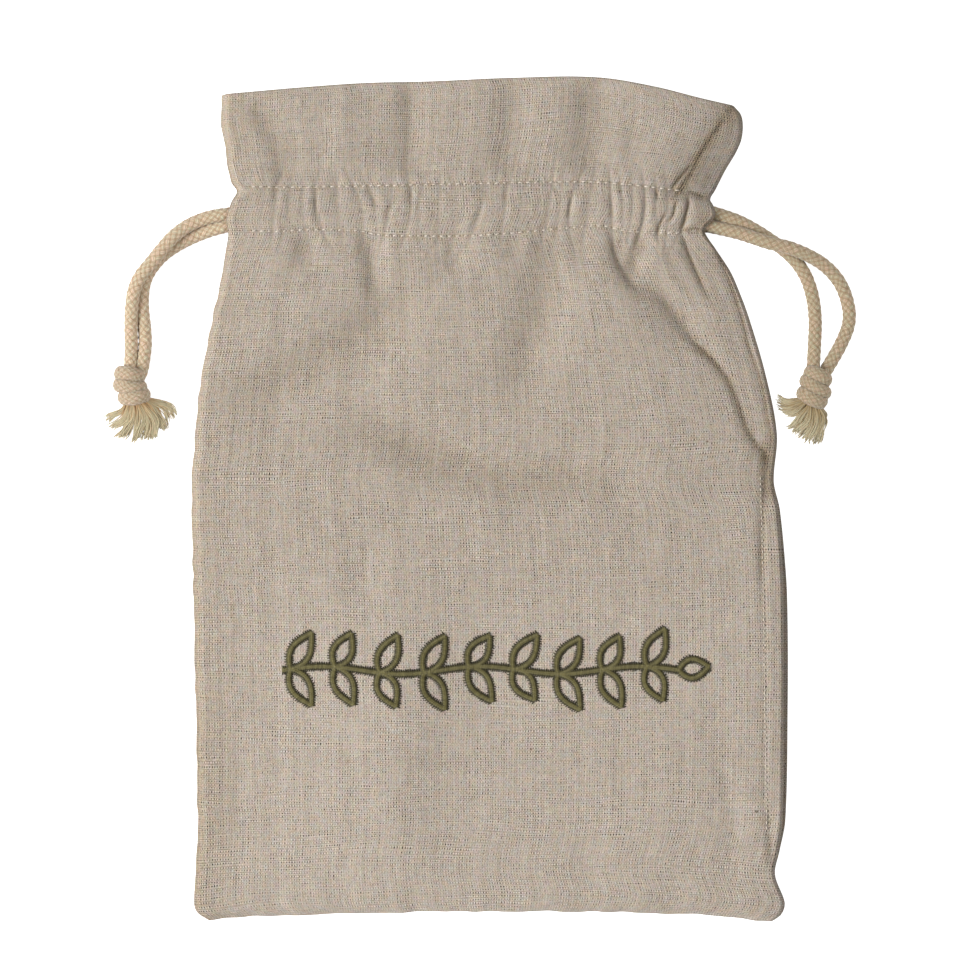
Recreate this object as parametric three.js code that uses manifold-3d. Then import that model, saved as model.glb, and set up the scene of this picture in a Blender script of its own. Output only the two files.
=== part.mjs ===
// An empty drawstring sack of linen, lying flat on its back panel. Two cloth panels are sewn
// together along both sides and the bottom, a stitched casing gathers the neck, and the cloth
// above it stands out as a header with an open mouth. A doubled drawcord leaves each side of the
// casing and ends in an overhand knot with a frayed tassel.
// Millimetres, +Z up. X runs across the sack, Y from the bottom seam to the mouth. The origin is
// the bottom centre of the box around the sack without its cords.
import * as THREE from 'three';
import { mergeVertices } from 'three/addons/utils/BufferGeometryUtils.js';
import Module from 'manifold-3d';

const wasm = await Module();
wasm.setup();

// Driving dimensions
const SINGLE_CLOTH = 1.0; // one layer of the cloth, in the body
const DOUBLE_CLOTH = 1.6; // the cloth turned down on itself, in the header and the casing
const GAP = 0.3; // clearance between pieces that touch
const BOTTOM = -197; // middle of the bottom seam
const CASING_LOW = 127.5; // lower stitch line of the casing
const CASING_HIGH = 149; // upper stitch line of the casing
const MOUTH = 197; // middle of the top edge
const CORD = 5.8; // diameter of the drawcord
const CORD_SIDES = 10;
const CORD_STEP = 6.5; // length of one straight piece of a cord's tube
const TURN_DOWN = 6; // width over which the doubled cloth thins out below the casing

// The cloth's edges, from the bottom seam up. The panels' right edges part where the seam turns
// under: there the back panel reaches further out by "under".
const LEFT_EDGE = [
  { y: -197, x: -133.5 },
  { y: -193, x: -138.8 },
  { y: -187, x: -140.2 },
  { y: -152, x: -138.8 },
  { y: -71, x: -140.1 },
  { y: 4, x: -141.5 },
  { y: 33, x: -139.7 },
  { y: 57, x: -137.2 },
  { y: 88, x: -131.2 },
  { y: 116, x: -125.4 },
  { y: 126, x: -123.9 },
  { y: 134, x: -124.4 },
  { y: 141, x: -122.4 },
  { y: 147, x: -119.4 },
  { y: 152, x: -122.4 },
  { y: 160, x: -124.6 },
  { y: 183, x: -127.4 },
  { y: 197, x: -127.1 },
];
const RIGHT_EDGE = [
  { y: -197, x: 133.0, under: 0.5 },
  { y: -193, x: 137.3, under: 0.3 },
  { y: -188, x: 138.4, under: 0 },
  { y: -176, x: 133.6, under: 0 },
  { y: -166, x: 135.4, under: 0.6 },
  { y: -152, x: 138.0, under: 1.8 },
  { y: -100, x: 139.3, under: 2.1 },
  { y: -53, x: 139.2, under: 1.9 },
  { y: -5, x: 136.6, under: 0.9 },
  { y: 9, x: 134.2, under: 0 },
  { y: 31, x: 135.8, under: 0 },
  { y: 59, x: 130.8, under: 0 },
  { y: 87, x: 122.2, under: 0 },
  { y: 109, x: 113.0, under: 0 },
  { y: 123, x: 104.6, under: 0 },
  { y: 130, x: 102.8, under: 0 },
  { y: 147, x: 104.8, under: 0 },
  { y: 160, x: 110.4, under: 0 },
  { y: 177, x: 118.0, under: 0 },
  { y: 188, x: 119.2, under: 0 },
  { y: 197, x: 115.6, under: 0 },
];

// The lines that run across the sack: how far each lies above or below its own level
const BOTTOM_LINE = [
  { x: -138, rise: -2.0 },
  { x: -94, rise: 0.4 },
  { x: 0, rise: 1.9 },
  { x: 94, rise: 0.4 },
  { x: 138, rise: -3.8 },
];
const STRAIGHT_LINE = [
  { x: -140, rise: 0 },
  { x: 140, rise: 0 },
];
const CASING_LOW_LINE = [
  { x: -114, rise: 0.4 },
  { x: -87, rise: 1.4 },
  { x: -28, rise: -2.2 },
  { x: 3, rise: -0.8 },
  { x: 48, rise: 1.8 },
  { x: 102, rise: -1.6 },
];
const CASING_HIGH_LINE = [
  { x: -114, rise: -2.0 },
  { x: -47, rise: 0.4 },
  { x: 28, rise: 2.8 },
  { x: 75, rise: 0.4 },
  { x: 102, rise: -4.0 },
];
const MOUTH_LINE = [
  { x: -127, rise: -4.7 },
  { x: -64, rise: 0.4 },
  { x: -26, rise: 1.8 },
  { x: 12, rise: 3.3 },
  { x: 51, rise: 3.3 },
  { x: 78, rise: -1.0 },
  { x: 116, rise: -10.4 },
];
const LEVELS = [
  { y: BOTTOM, line: BOTTOM_LINE },
  { y: BOTTOM + 60, line: STRAIGHT_LINE },
  { y: CASING_LOW - 50, line: STRAIGHT_LINE },
  { y: CASING_LOW, line: CASING_LOW_LINE },
  { y: CASING_HIGH, line: CASING_HIGH_LINE },
  { y: MOUTH, line: MOUTH_LINE },
];

// The front panel's height: the level that its middle holds, and how much of that the sides
// keep. They keep none where they are sewn down, and most of it where the cords come out.
const LOFT = [
  { y: -197, middle: 8.2, side: 0 },
  { y: -60, middle: 8.6, side: 0 },
  { y: 60, middle: 9.4, side: 0 },
  { y: 100, middle: 11.2, side: 0.05 },
  { y: 116, middle: 11.8, side: 0.35 },
  { y: 125, middle: 12.0, side: 0.84 },
  { y: 140, middle: 12.0, side: 0.84 },
  { y: 150, middle: 12.0, side: 0.2 },
  { y: 158, middle: 11.6, side: 0.05 },
  { y: 197, middle: 11.5, side: 0.05 },
];
const SIDE_SLOPE = 30; // width over which the sides come up from the seams
const BOTTOM_SLOPE = 25;
const HEADER_SLOPE = 18;
const SLOPE_POWER = 2.2; // how full the sides are
const SHOULDER_FROM = 80; // level at which the sides begin to draw in to the neck
const SHOULDER_TO = 130;

// The pleats of the casing: where each dips, how deep and wide, how far it leans to the right on
// its way up, and how far it runs on above and below the casing
const PLEATS = [
  { x: -103, depth: 1.6, width: 2.6, lean: 0.0, above: 20, below: 6 },
  { x: -92.5, depth: 1.1, width: 2.2, lean: -0.1, above: 5, below: 9 },
  { x: -84, depth: 1.7, width: 2.4, lean: 0.0, above: 6, below: 10 },
  { x: -71, depth: 1.1, width: 2.4, lean: 0.1, above: 7, below: 5 },
  { x: -56, depth: 1.9, width: 2.6, lean: -0.25, above: 5, below: 22 },
  { x: -47, depth: 1.8, width: 2.4, lean: 0.4, above: 5, below: 5 },
  { x: -38, depth: 1.9, width: 2.4, lean: 0.05, above: 26, below: 12 },
  { x: -28.5, depth: 1.2, width: 2.2, lean: 0.0, above: 6, below: 14 },
  { x: -19, depth: 1.1, width: 2.2, lean: -0.15, above: 5, below: 6 },
  { x: -4, depth: 1.6, width: 2.8, lean: 0.5, above: 15, below: 5 },
  { x: 6, depth: 1.6, width: 2.2, lean: 0.05, above: 5, below: 8 },
  { x: 14, depth: 1.1, width: 2.0, lean: 0.1, above: 4, below: 5 },
  { x: 22.5, depth: 1.2, width: 2.4, lean: 0.0, above: 4, below: 18 },
  { x: 33, depth: 1.5, width: 2.4, lean: -0.3, above: 5, below: 5 },
  { x: 42, depth: 1.6, width: 2.2, lean: 0.05, above: 18, below: 6 },
  { x: 50.5, depth: 1.1, width: 2.0, lean: 0.0, above: 5, below: 4 },
  { x: 61, depth: 2.1, width: 2.4, lean: -0.1, above: 6, below: 14 },
  { x: 69.5, depth: 1.7, width: 2.2, lean: 0.2, above: 8, below: 12 },
  { x: 79, depth: 2.2, width: 2.2, lean: 0.1, above: 6, below: 6 },
  { x: 92, depth: 2.8, width: 2.6, lean: 0.15, above: 8, below: 16 },
];
const CASING_PUFF = 1.4; // how far the casing stands up between its two stitch lines
const STITCH_DIP = 0.8; // how far each stitch line draws the cloth down
const STITCH_DIP_WIDTH = 2.2;
const FOLD_END = 0.25; // share of its run-out that a fold still has at the end of its path

// The folds. Each is a trough (depth below 0) or a ridge (above 0) along its path, given from
// its upper end, with its own width to the left and to the right of the path.
const FOLDS = [
  {
    name: 'shoulder crease at the right', depth: -3.6, leftWidth: 9, rightWidth: 4.5, ends: 12,
    path: [[58, 125], [66.5, 104], [92.5, 78.5], [114, 54.5], [119, 40], [131, 18]],
  },
  {
    name: 'second crease at the right', depth: -2.6, leftWidth: 6, rightWidth: 3.5, ends: 12,
    path: [[92, 126], [98.5, 108], [110, 89]],
  },
  {
    name: 'upper valley at the left', depth: -1.8, leftWidth: 5, rightWidth: 5, ends: 14,
    path: [[-59, 125], [-61, 97], [-71, 84]],
  },
  {
    name: 'lower valley at the left', depth: -1.5, leftWidth: 9, rightWidth: 7, ends: 16,
    path: [[-66, 90], [-85.5, 67], [-102, 56], [-129, 37]],
  },
  {
    name: 'short crease left of the middle', depth: -1.3, leftWidth: 4, rightWidth: 4, ends: 12,
    path: [[-41, 118], [-49, 92], [-56, 81]],
  },
  {
    name: 'valley at the middle', depth: -1.8, leftWidth: 5, rightWidth: 8, ends: 16,
    path: [[25, 125], [20, 97], [10, 60]],
  },
  {
    name: 'waist valley', depth: -1.3, leftWidth: 8, rightWidth: 9, ends: 20,
    path: [[-80, 38], [-50, 26], [-12, 11.5], [7, 10], [47, 2]],
  },
  {
    name: 'ridge at the lower right', depth: 0.9, leftWidth: 5, rightWidth: 5, ends: 20,
    path: [[111, -116], [120, -157], [124, -193]],
  },
  {
    name: 'groove of the side seam', depth: -0.9, leftWidth: 3, rightWidth: 3, ends: 8,
    path: [[128.5, 10], [129.7, -33], [130.5, -89], [131.5, -152]],
  },
  {
    name: 'left crease of the header', depth: -1.8, leftWidth: 5, rightWidth: 4, ends: 12,
    path: [[-117, 186], [-103.5, 167], [-98.5, 152]],
  },
  {
    name: 'deep valley of the header', depth: -2.4, leftWidth: 5, rightWidth: 9, ends: 14,
    path: [[-38, 200], [-40, 175], [-39, 152]],
  },
  {
    name: 'middle valley of the header', depth: -1.2, leftWidth: 6, rightWidth: 8, ends: 14,
    path: [[8, 202], [5.5, 180], [0, 152]],
  },
  {
    name: 'right valley of the header', depth: -1.7, leftWidth: 6, rightWidth: 9, ends: 14,
    path: [[49, 202], [45.5, 180], [42.5, 152]],
  },
];
// The corner of the header that has folded down and away, right of this line
const FLAP_LINE = [[115.5, 188], [104.5, 172], [95, 160], [86, 146]];
const FLAP_FROM = 141; // lowest level that the flap reaches
const FLAP_DROP = 4.6;
const FLAP_WIDTH = 5; // width of the step down
const FLAP_CREASE = 1.6;
const FLAP_CREASE_WIDTH = 2.5;

// The back panel's header lies in waves of its own
const BACK_WAVES = [
  { x: -72, lift: 0.8, width: 15 },
  { x: 62, lift: 0.9, width: 13 },
];

// How the panels are divided: rows from the bottom seam to the mouth, columns across
const FRONT_ROWS = [
  { from: -197, to: -187, count: 3 },
  { from: -187, to: -150, count: 3 },
  { from: -150, to: -20, count: 8 },
  { from: -20, to: 90, count: 11 },
  { from: 90, to: CASING_LOW, count: 4 },
  { from: CASING_LOW, to: CASING_HIGH, count: 4 },
  { from: CASING_HIGH, to: MOUTH, count: 6 },
];
const BACK_ROWS = [
  { from: -197, to: -187, count: 2 },
  { from: -187, to: 90, count: 11 },
  { from: 90, to: MOUTH, count: 9 },
];
const EDGE_COLUMNS = [0, 0.012, 0.035, 0.07];
const BACK_COLUMNS = 26;
const LEFT_OF_PLEATS = [0, 4, 11]; // columns outside the first and the last pleat
const RIGHT_OF_PLEATS = [6, 3, 0];
const GATHER_FROM = 52.5; // level at which the columns begin to gather to the pleats
const GATHER_TO = 112.5;

// The drawcords, from inside the casing to their knots, and the knots they end in
const CORDS = [
  {
    name: 'cord_left_upper',
    path: [
      [-117, 136.6, 4.9], [-124, 136.4, 4.9], [-131, 135, 4.9], [-138.5, 132.2, 5.5],
      [-146.5, 127, 7.6], [-155, 119.5, 8.7], [-161.5, 112.8, 9.1], [-166.5, 106.2, 8.7],
      [-170, 98.5, 6.7], [-171.3, 90, 4.2], [-171.4, 81, 3.2], [-171.2, 73, 4.5],
      [-171.1, 63.2, 6.5],
    ],
  },
  {
    name: 'cord_left_lower',
    path: [
      [-117, 130, 4.9], [-124, 130.2, 4.9], [-131, 128.3, 4.6], [-138.5, 125, 3.6],
      [-147, 120.5, 3], [-157, 113, 3], [-162.8, 106.2, 3], [-165, 98.5, 3], [-164.9, 90, 3],
      [-163.2, 81, 3], [-163.8, 73, 4.5], [-164.8, 62.3, 6.5],
    ],
  },
  {
    name: 'cord_right_upper',
    path: [
      [96, 138, 4.9], [103, 137.4, 4.9], [110, 135.4, 4.6], [120, 130.9, 3.4], [131.5, 124.6, 3],
      [142.5, 116.2, 3], [149.3, 107.6, 3], [153.2, 97, 3], [154.6, 85, 3.2], [154.2, 74, 4.6],
      [153.6, 64.2, 6.5],
    ],
  },
  {
    name: 'cord_right_lower',
    path: [
      [96, 130.2, 4.9], [103, 128.4, 4.9], [110, 126.6, 5], [119.5, 124.8, 6.8],
      [131.5, 122, 9.1], [144, 118.8, 8.6], [157, 112.6, 4.8], [165.4, 104.4, 3],
      [169.9, 94, 3], [170.6, 84, 3], [166.6, 73.4, 4.2], [159.5, 61.2, 6.5],
    ],
  },
];
// Each knot is a core with three turns of cord round it. Its frayed strands fan out on the
// table: how far they reach at each angle from straight towards the bottom seam.
const KNOTS = [
  {
    name: 'knot_left', x: -170.2, y: 54, turned: 4, root: 3.6, seed: 3,
    fan: [{ angle: -62, reach: 16.5 }, { angle: 0, reach: 19.5 }, { angle: 66, reach: 20 }],
  },
  {
    name: 'knot_right', x: 154.2, y: 53.4, turned: -22, root: 2.4, seed: 8,
    fan: [{ angle: -80, reach: 15 }, { angle: 0, reach: 21 }, { angle: 22, reach: 15.5 }],
  },
];
const KNOT_HALF_HEIGHT = 7.6;
const KNOT_TURN = 5.6; // radius of a turn, at the middle of its cord
const KNOT_PITCH = 5.3; // distance from one turn to the next
const KNOT_CORE = [6.2, 7.7, 6.7]; // half sizes of the core
const KNOT_CLEAR = 0.05; // how far the knot's lowest point is off the table
const KNOT_TURNS = [
  { at: 1, tilt: -9 },
  { at: 0, tilt: -15 },
  { at: -1, tilt: -7 },
];
const FRAY_STRANDS = 24;
const FRAY_RADIUS = 0.75;
const FRAY_ROOT = -4; // where the strands leave the knot, from its middle
const FRAY_ROOT_HEIGHT = 3.2;
const FRAY_REST_HEIGHT = 0.85;
const FRAY_LANDING = 0.3; // how much higher a strand still is half way out
const FRAY_SHORTEST = 0.88; // shares of the fan's reach
const FRAY_LONGEST = 1.02;

// Materials
const linen = new THREE.MeshStandardMaterial({ color: 0xab9f93, roughness: 0.92, metalness: 0 });
const backLinen = new THREE.MeshStandardMaterial({ color: 0x9a8f84, roughness: 0.92, metalness: 0 });
const cotton = new THREE.MeshStandardMaterial({ color: 0xd9cbb2, roughness: 0.88, metalness: 0 });

// 0 at the start, 1 at the end, with level ends
function ease(t) {
  const s = Math.min(1, Math.max(0, t));
  return s * s * (3 - 2 * s);
}

// The value of one column of a table at a place along another, on a smooth curve
function lookUp(table, along, column, at) {
  const last = table.length - 1;
  const clamped = Math.min(table[last][along], Math.max(table[0][along], at));
  let i = 0;
  while (i < last - 1 && clamped > table[i + 1][along]) i += 1;
  const slope = (k) => {
    const a = table[Math.max(0, k - 1)];
    const b = table[Math.min(last, k + 1)];
    return (b[column] - a[column]) / (b[along] - a[along]);
  };
  const span = table[i + 1][along] - table[i][along];
  const t = (clamped - table[i][along]) / span;
  const t2 = t * t;
  const t3 = t2 * t;
  return (2 * t3 - 3 * t2 + 1) * table[i][column] + (3 * t2 - 2 * t3) * table[i + 1][column]
    + (t3 - 2 * t2 + t) * span * slope(i) + (t3 - t2) * span * slope(i + 1);
}

// Where a point lies beside a path: its distance, which side it is on (right is +1 for someone
// who walks along the path), and how far along the path its nearest place is
function besidePath(path, x, y) {
  let best = { distance: Infinity, side: 1, along: 0 };
  let walked = 0;
  for (let i = 0; i < path.length - 1; i += 1) {
    const [ax, ay] = path[i];
    const dx = path[i + 1][0] - ax;
    const dy = path[i + 1][1] - ay;
    const length = Math.hypot(dx, dy);
    const t = Math.min(1, Math.max(0, ((x - ax) * dx + (y - ay) * dy) / (length * length)));
    const distance = Math.hypot(x - ax - t * dx, y - ay - t * dy);
    if (distance < best.distance) {
      const side = dx * (y - ay) - dy * (x - ax) > 0 ? -1 : 1;
      best = { distance, side, along: walked + t * length };
    }
    walked += length;
  }
  return { ...best, length: walked };
}

// The height that one fold adds at a point
function foldHeight(fold, x, y) {
  const near = besidePath(fold.path, x, y);
  const width = near.side > 0 ? fold.rightWidth : fold.leftWidth;
  const fromEnd = Math.min(near.along, near.length - near.along);
  return fold.depth * Math.exp(-((near.distance / width) ** 2)) * ease(FOLD_END + fromEnd / fold.ends);
}

// The height that the casing's pleats, puff and stitch lines add
function casingHeight(x, y) {
  const low = CASING_LOW + lookUp(CASING_LOW_LINE, 'x', 'rise', x);
  const high = CASING_HIGH + lookUp(CASING_HIGH_LINE, 'x', 'rise', x);
  let height = 0;
  for (const pleat of PLEATS) {
    const past = y > high ? (y - high) / pleat.above : Math.max(0, low - y) / pleat.below;
    const middle = pleat.x + pleat.lean * (y - (low + high) / 2);
    height -= pleat.depth * Math.exp(-(((x - middle) / pleat.width) ** 2)) * Math.exp(-past * past);
  }
  const across = (y - low) / (high - low);
  if (across > 0 && across < 1) height += CASING_PUFF * Math.sin(Math.PI * across);
  for (const line of [low, high]) {
    height -= STITCH_DIP * Math.exp(-(((y - line) / STITCH_DIP_WIDTH) ** 2));
  }
  return height;
}

// The step down to the folded corner of the header
function flapHeight(x, y) {
  if (y < FLAP_FROM) return 0;
  const near = besidePath(FLAP_LINE, x, y);
  const crease = FLAP_CREASE * Math.exp(-((near.distance / FLAP_CREASE_WIDTH) ** 2));
  const beyond = near.side < 0 ? ease(near.distance / FLAP_WIDTH) : 0;
  return -FLAP_DROP * beyond - crease;
}

function clothThickness(y) {
  return SINGLE_CLOTH + (DOUBLE_CLOTH - SINGLE_CLOTH) * ease((y - CASING_LOW) / TURN_DOWN + 1);
}

function rightEdge(y, panel) {
  const under = panel === 'back' ? Math.max(0, lookUp(RIGHT_EDGE, 'y', 'under', y)) : 0;
  return lookUp(RIGHT_EDGE, 'y', 'x', y) + under;
}

// How far the level line at this height has moved up or down at a place across the sack
function levelShift(x, y) {
  let i = 0;
  while (i < LEVELS.length - 2 && y > LEVELS[i + 1].y) i += 1;
  const lower = lookUp(LEVELS[i].line, 'x', 'rise', x);
  const upper = lookUp(LEVELS[i + 1].line, 'x', 'rise', x);
  return lower + (upper - lower) * ease((y - LEVELS[i].y) / (LEVELS[i + 1].y - LEVELS[i].y));
}

// Height of the front panel's upper face at a place on it. "level" is the row's own level, and
// x and y are where the point really is.
function frontHeight(x, y, level) {
  const cloth = clothThickness(level);
  const sewnDown = 2 * cloth + GAP;
  const drawnIn = ease((level - SHOULDER_FROM) / (SHOULDER_TO - SHOULDER_FROM));
  const slope = SIDE_SLOPE + (HEADER_SLOPE - SIDE_SLOPE) * drawnIn;
  const full = (distance, width) => 1 - (1 - Math.min(1, Math.max(0, distance) / width)) ** SLOPE_POWER;
  const kept = Math.max(0, lookUp(LOFT, 'y', 'side', level));
  const left = kept + (1 - kept) * full(x - lookUp(LEFT_EDGE, 'y', 'x', level), slope);
  const right = kept + (1 - kept) * full(rightEdge(level, 'front') - x, slope);
  const bottom = full(level - BOTTOM, BOTTOM_SLOPE);
  const share = left * right * bottom;
  let relief = casingHeight(x, y) + flapHeight(x, y);
  for (const fold of FOLDS) relief += foldHeight(fold, x, y);
  const loft = lookUp(LOFT, 'y', 'middle', level) + relief - sewnDown;
  return sewnDown + Math.max(0, loft) * share;
}

// Height of the back panel's upper face. Only its header is off the table, in two low waves.
function backHeight(x, level) {
  let lift = 0;
  for (const wave of BACK_WAVES) {
    lift += wave.lift * Math.exp(-(((x - wave.x) / wave.width) ** 2));
  }
  return clothThickness(level) + lift * ease((level - CASING_HIGH) / (MOUTH - CASING_HIGH));
}

// Levels of the rows, from zones that each have their own spacing
function rowLevels(zones) {
  const levels = [zones[0].from];
  for (const zone of zones) {
    for (let i = 1; i <= zone.count; i += 1) {
      levels.push(zone.from + ((zone.to - zone.from) * i) / zone.count);
    }
  }
  return levels;
}

// Shares of the width, close together near both edges and even between them
function evenColumns(count) {
  const inner = count - 2 * EDGE_COLUMNS.length;
  const start = EDGE_COLUMNS[EDGE_COLUMNS.length - 1];
  const shares = [...EDGE_COLUMNS];
  for (let i = 1; i <= inner; i += 1) shares.push(start + ((1 - 2 * start) * i) / (inner + 1));
  return [...shares, ...EDGE_COLUMNS.map((share) => 1 - share).reverse()];
}

// Shares of the width that put a column in each pleat of the casing and one between neighbours
function pleatColumns() {
  const left = lookUp(LEFT_EDGE, 'y', 'x', CASING_LOW);
  const right = rightEdge(CASING_LOW, 'front');
  const places = LEFT_OF_PLEATS.map((inset) => left + inset);
  PLEATS.forEach((pleat, i) => {
    places.push(pleat.x);
    if (i < PLEATS.length - 1) places.push((pleat.x + PLEATS[i + 1].x) / 2);
  });
  RIGHT_OF_PLEATS.forEach((inset) => places.push(right - inset));
  return places.map((place) => (place - left) / (right - left));
}

// A closed sheet over a grid of points: the upper face, the lower face and the four edges
function sheetGeometry(upper, lower) {
  const rows = upper.length;
  const columns = upper[0].length;
  const positions = [...upper.flat(), ...lower.flat()].flat();
  const top = (i, j) => i * columns + j;
  const under = (i, j) => rows * columns + i * columns + j;
  const index = [];
  const quad = (a, b, c, d) => index.push(a, b, c, a, c, d);
  for (let i = 0; i < rows - 1; i += 1) {
    for (let j = 0; j < columns - 1; j += 1) {
      quad(top(i, j), top(i, j + 1), top(i + 1, j + 1), top(i + 1, j));
      quad(under(i, j), under(i + 1, j), under(i + 1, j + 1), under(i, j + 1));
    }
    quad(top(i, 0), top(i + 1, 0), under(i + 1, 0), under(i, 0));
    quad(under(i, columns - 1), under(i + 1, columns - 1), top(i + 1, columns - 1), top(i, columns - 1));
  }
  for (let j = 0; j < columns - 1; j += 1) {
    quad(under(0, j), under(0, j + 1), top(0, j + 1), top(0, j));
    quad(top(rows - 1, j), top(rows - 1, j + 1), under(rows - 1, j + 1), under(rows - 1, j));
  }
  const geometry = new THREE.BufferGeometry();
  geometry.setAttribute('position', new THREE.Float32BufferAttribute(positions, 3));
  geometry.setIndex(index);
  return geometry;
}

// One cloth panel, from its rows and its columns
function panelMesh(name, panel, zones, sharesAt, heightAt, material) {
  const upper = [];
  const lower = [];
  for (const level of rowLevels(zones)) {
    const left = lookUp(LEFT_EDGE, 'y', 'x', level);
    const right = rightEdge(level, panel);
    const points = sharesAt(level).map((share) => {
      const x = left + share * (right - left);
      const y = level + levelShift(x, level);
      return [x, y, heightAt(x, y, level)];
    });
    const cloth = clothThickness(level);
    upper.push(points);
    lower.push(points.map(([x, y, z]) => [x, y, z - cloth]));
  }
  const mesh = new THREE.Mesh(sheetGeometry(upper, lower), material);
  mesh.name = name;
  return mesh;
}

// The columns gather to the pleats near the casing and spread evenly in the body
function frontPanel() {
  const gathered = pleatColumns();
  const even = evenColumns(gathered.length);
  const shares = (level) => {
    const near = ease((level - GATHER_FROM) / (GATHER_TO - GATHER_FROM));
    return gathered.map((share, j) => even[j] + (share - even[j]) * near);
  };
  return panelMesh('front_panel', 'front', FRONT_ROWS, shares, frontHeight, linen);
}

function backPanel() {
  const even = evenColumns(BACK_COLUMNS);
  const height = (x, y, level) => backHeight(x, level);
  return panelMesh('back_panel', 'back', BACK_ROWS, () => even, height, backLinen);
}

// A regular outline of the given radius, to sweep along a path
function roundShape(radius, sides) {
  const shape = new THREE.Shape();
  for (let i = 0; i < sides; i += 1) {
    const angle = ((i + 0.5) / sides) * 2 * Math.PI;
    const x = radius * Math.cos(angle);
    const y = radius * Math.sin(angle);
    if (i === 0) shape.moveTo(x, y);
    else shape.lineTo(x, y);
  }
  shape.closePath();
  return shape;
}

function sweptGeometry(points, radius, sides, steps) {
  const extrudePath = new THREE.CatmullRomCurve3(points.map((point) => new THREE.Vector3(...point)));
  return new THREE.ExtrudeGeometry(roundShape(radius, sides), { steps, extrudePath, curveSegments: 1 });
}

function cordMesh(cord) {
  const route = new THREE.CatmullRomCurve3(cord.path.map((point) => new THREE.Vector3(...point)));
  const steps = Math.round(route.getLength() / CORD_STEP);
  const mesh = new THREE.Mesh(sweptGeometry(cord.path, CORD / 2, CORD_SIDES, steps), cotton);
  mesh.name = cord.name;
  return mesh;
}

// A closed mesh as a solid that can be joined to others
function toSolid(geometry) {
  const bare = geometry.clone();
  bare.deleteAttribute('normal');
  bare.deleteAttribute('uv');
  const merged = mergeVertices(bare, 1e-4);
  return new wasm.Manifold(new wasm.Mesh({
    numProp: 3,
    vertProperties: new Float32Array(merged.attributes.position.array),
    triVerts: new Uint32Array(merged.index.array),
  }));
}

function toGeometry(solid) {
  const mesh = solid.getMesh();
  const geometry = new THREE.BufferGeometry();
  geometry.setAttribute('position', new THREE.BufferAttribute(new Float32Array(mesh.vertProperties), 3));
  geometry.setIndex(new THREE.BufferAttribute(new Uint32Array(mesh.triVerts), 1));
  return geometry;
}

// Repeatable numbers from 0 to 1
function numberSeries(seed) {
  let state = seed * 7919 + 17;
  return () => {
    state = (state * 16807) % 2147483647;
    return state / 2147483647;
  };
}

// The frayed ends of one knot: strands that leave it side by side and come to rest on the table
function frayedStrands(knot) {
  const next = numberSeries(knot.seed);
  const strands = [];
  for (let i = 0; i < FRAY_STRANDS; i += 1) {
    const place = i / (FRAY_STRANDS - 1);
    const turn = THREE.MathUtils.lerp(knot.fan[0].angle, knot.fan[2].angle, place);
    const angle = THREE.MathUtils.degToRad(turn);
    const reach = lookUp(knot.fan, 'angle', 'reach', turn);
    const length = reach * THREE.MathUtils.lerp(FRAY_SHORTEST, FRAY_LONGEST, next());
    const rootX = knot.root * (2 * place - 1);
    const at = (share, z) => [
      rootX + share * length * Math.sin(angle), FRAY_ROOT - share * length * Math.cos(angle), z,
    ];
    const path = [
      at(0, FRAY_ROOT_HEIGHT), at(0.5, FRAY_REST_HEIGHT + FRAY_LANDING), at(1, FRAY_REST_HEIGHT),
    ];
    strands.push(sweptGeometry(path, FRAY_RADIUS, 3, 3));
  }
  return strands;
}

function knotMesh(knot) {
  const pieces = [];
  const core = new THREE.SphereGeometry(1, 12, 8);
  core.scale(...KNOT_CORE);
  pieces.push(core);
  for (const turn of KNOT_TURNS) {
    const ring = new THREE.TorusGeometry(KNOT_TURN, CORD / 2, 7, 14);
    ring.rotateX(Math.PI / 2);
    ring.rotateZ(THREE.MathUtils.degToRad(turn.tilt));
    ring.scale(1, 1, (KNOT_HALF_HEIGHT - KNOT_CLEAR) / (KNOT_TURN + CORD / 2));
    ring.translate(0, turn.at * KNOT_PITCH, 0);
    pieces.push(ring);
  }
  for (const piece of pieces) {
    piece.rotateZ(THREE.MathUtils.degToRad(knot.turned));
    piece.translate(0, 0, KNOT_HALF_HEIGHT);
  }
  const parts = [...pieces, ...frayedStrands(knot)].map(toSolid);
  const solid = parts.reduce((joined, part) => joined.add(part));
  const mesh = new THREE.Mesh(toGeometry(solid), cotton);
  mesh.name = knot.name;
  mesh.position.set(knot.x, knot.y, 0);
  return mesh;
}

const sack = new THREE.Group();
sack.add(backPanel(), frontPanel());
for (const cord of CORDS) sack.add(cordMesh(cord));
for (const knot of KNOTS) sack.add(knotMesh(knot));

export default sack;
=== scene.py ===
"""An empty drawstring sack of undyed linen, lying flat on its back, dressed over its CAD frame.

The front cloth is one sheet with its gathers, folds and turned edges, the back cloth a second
one. Stitches, a leaf garland in olive satin stitch, four braided drawcords and two knots with
frayed ends are pieces of their own. Lengths in the tables are millimetres, in the frame of the
CAD: X across the sack, Y from the bottom seam to the mouth, Z up from the table.
"""
from __future__ import annotations

import logging
import math
from dataclasses import dataclass, field, replace
from enum import Enum
from typing import Iterable, Iterator, Sequence

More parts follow.
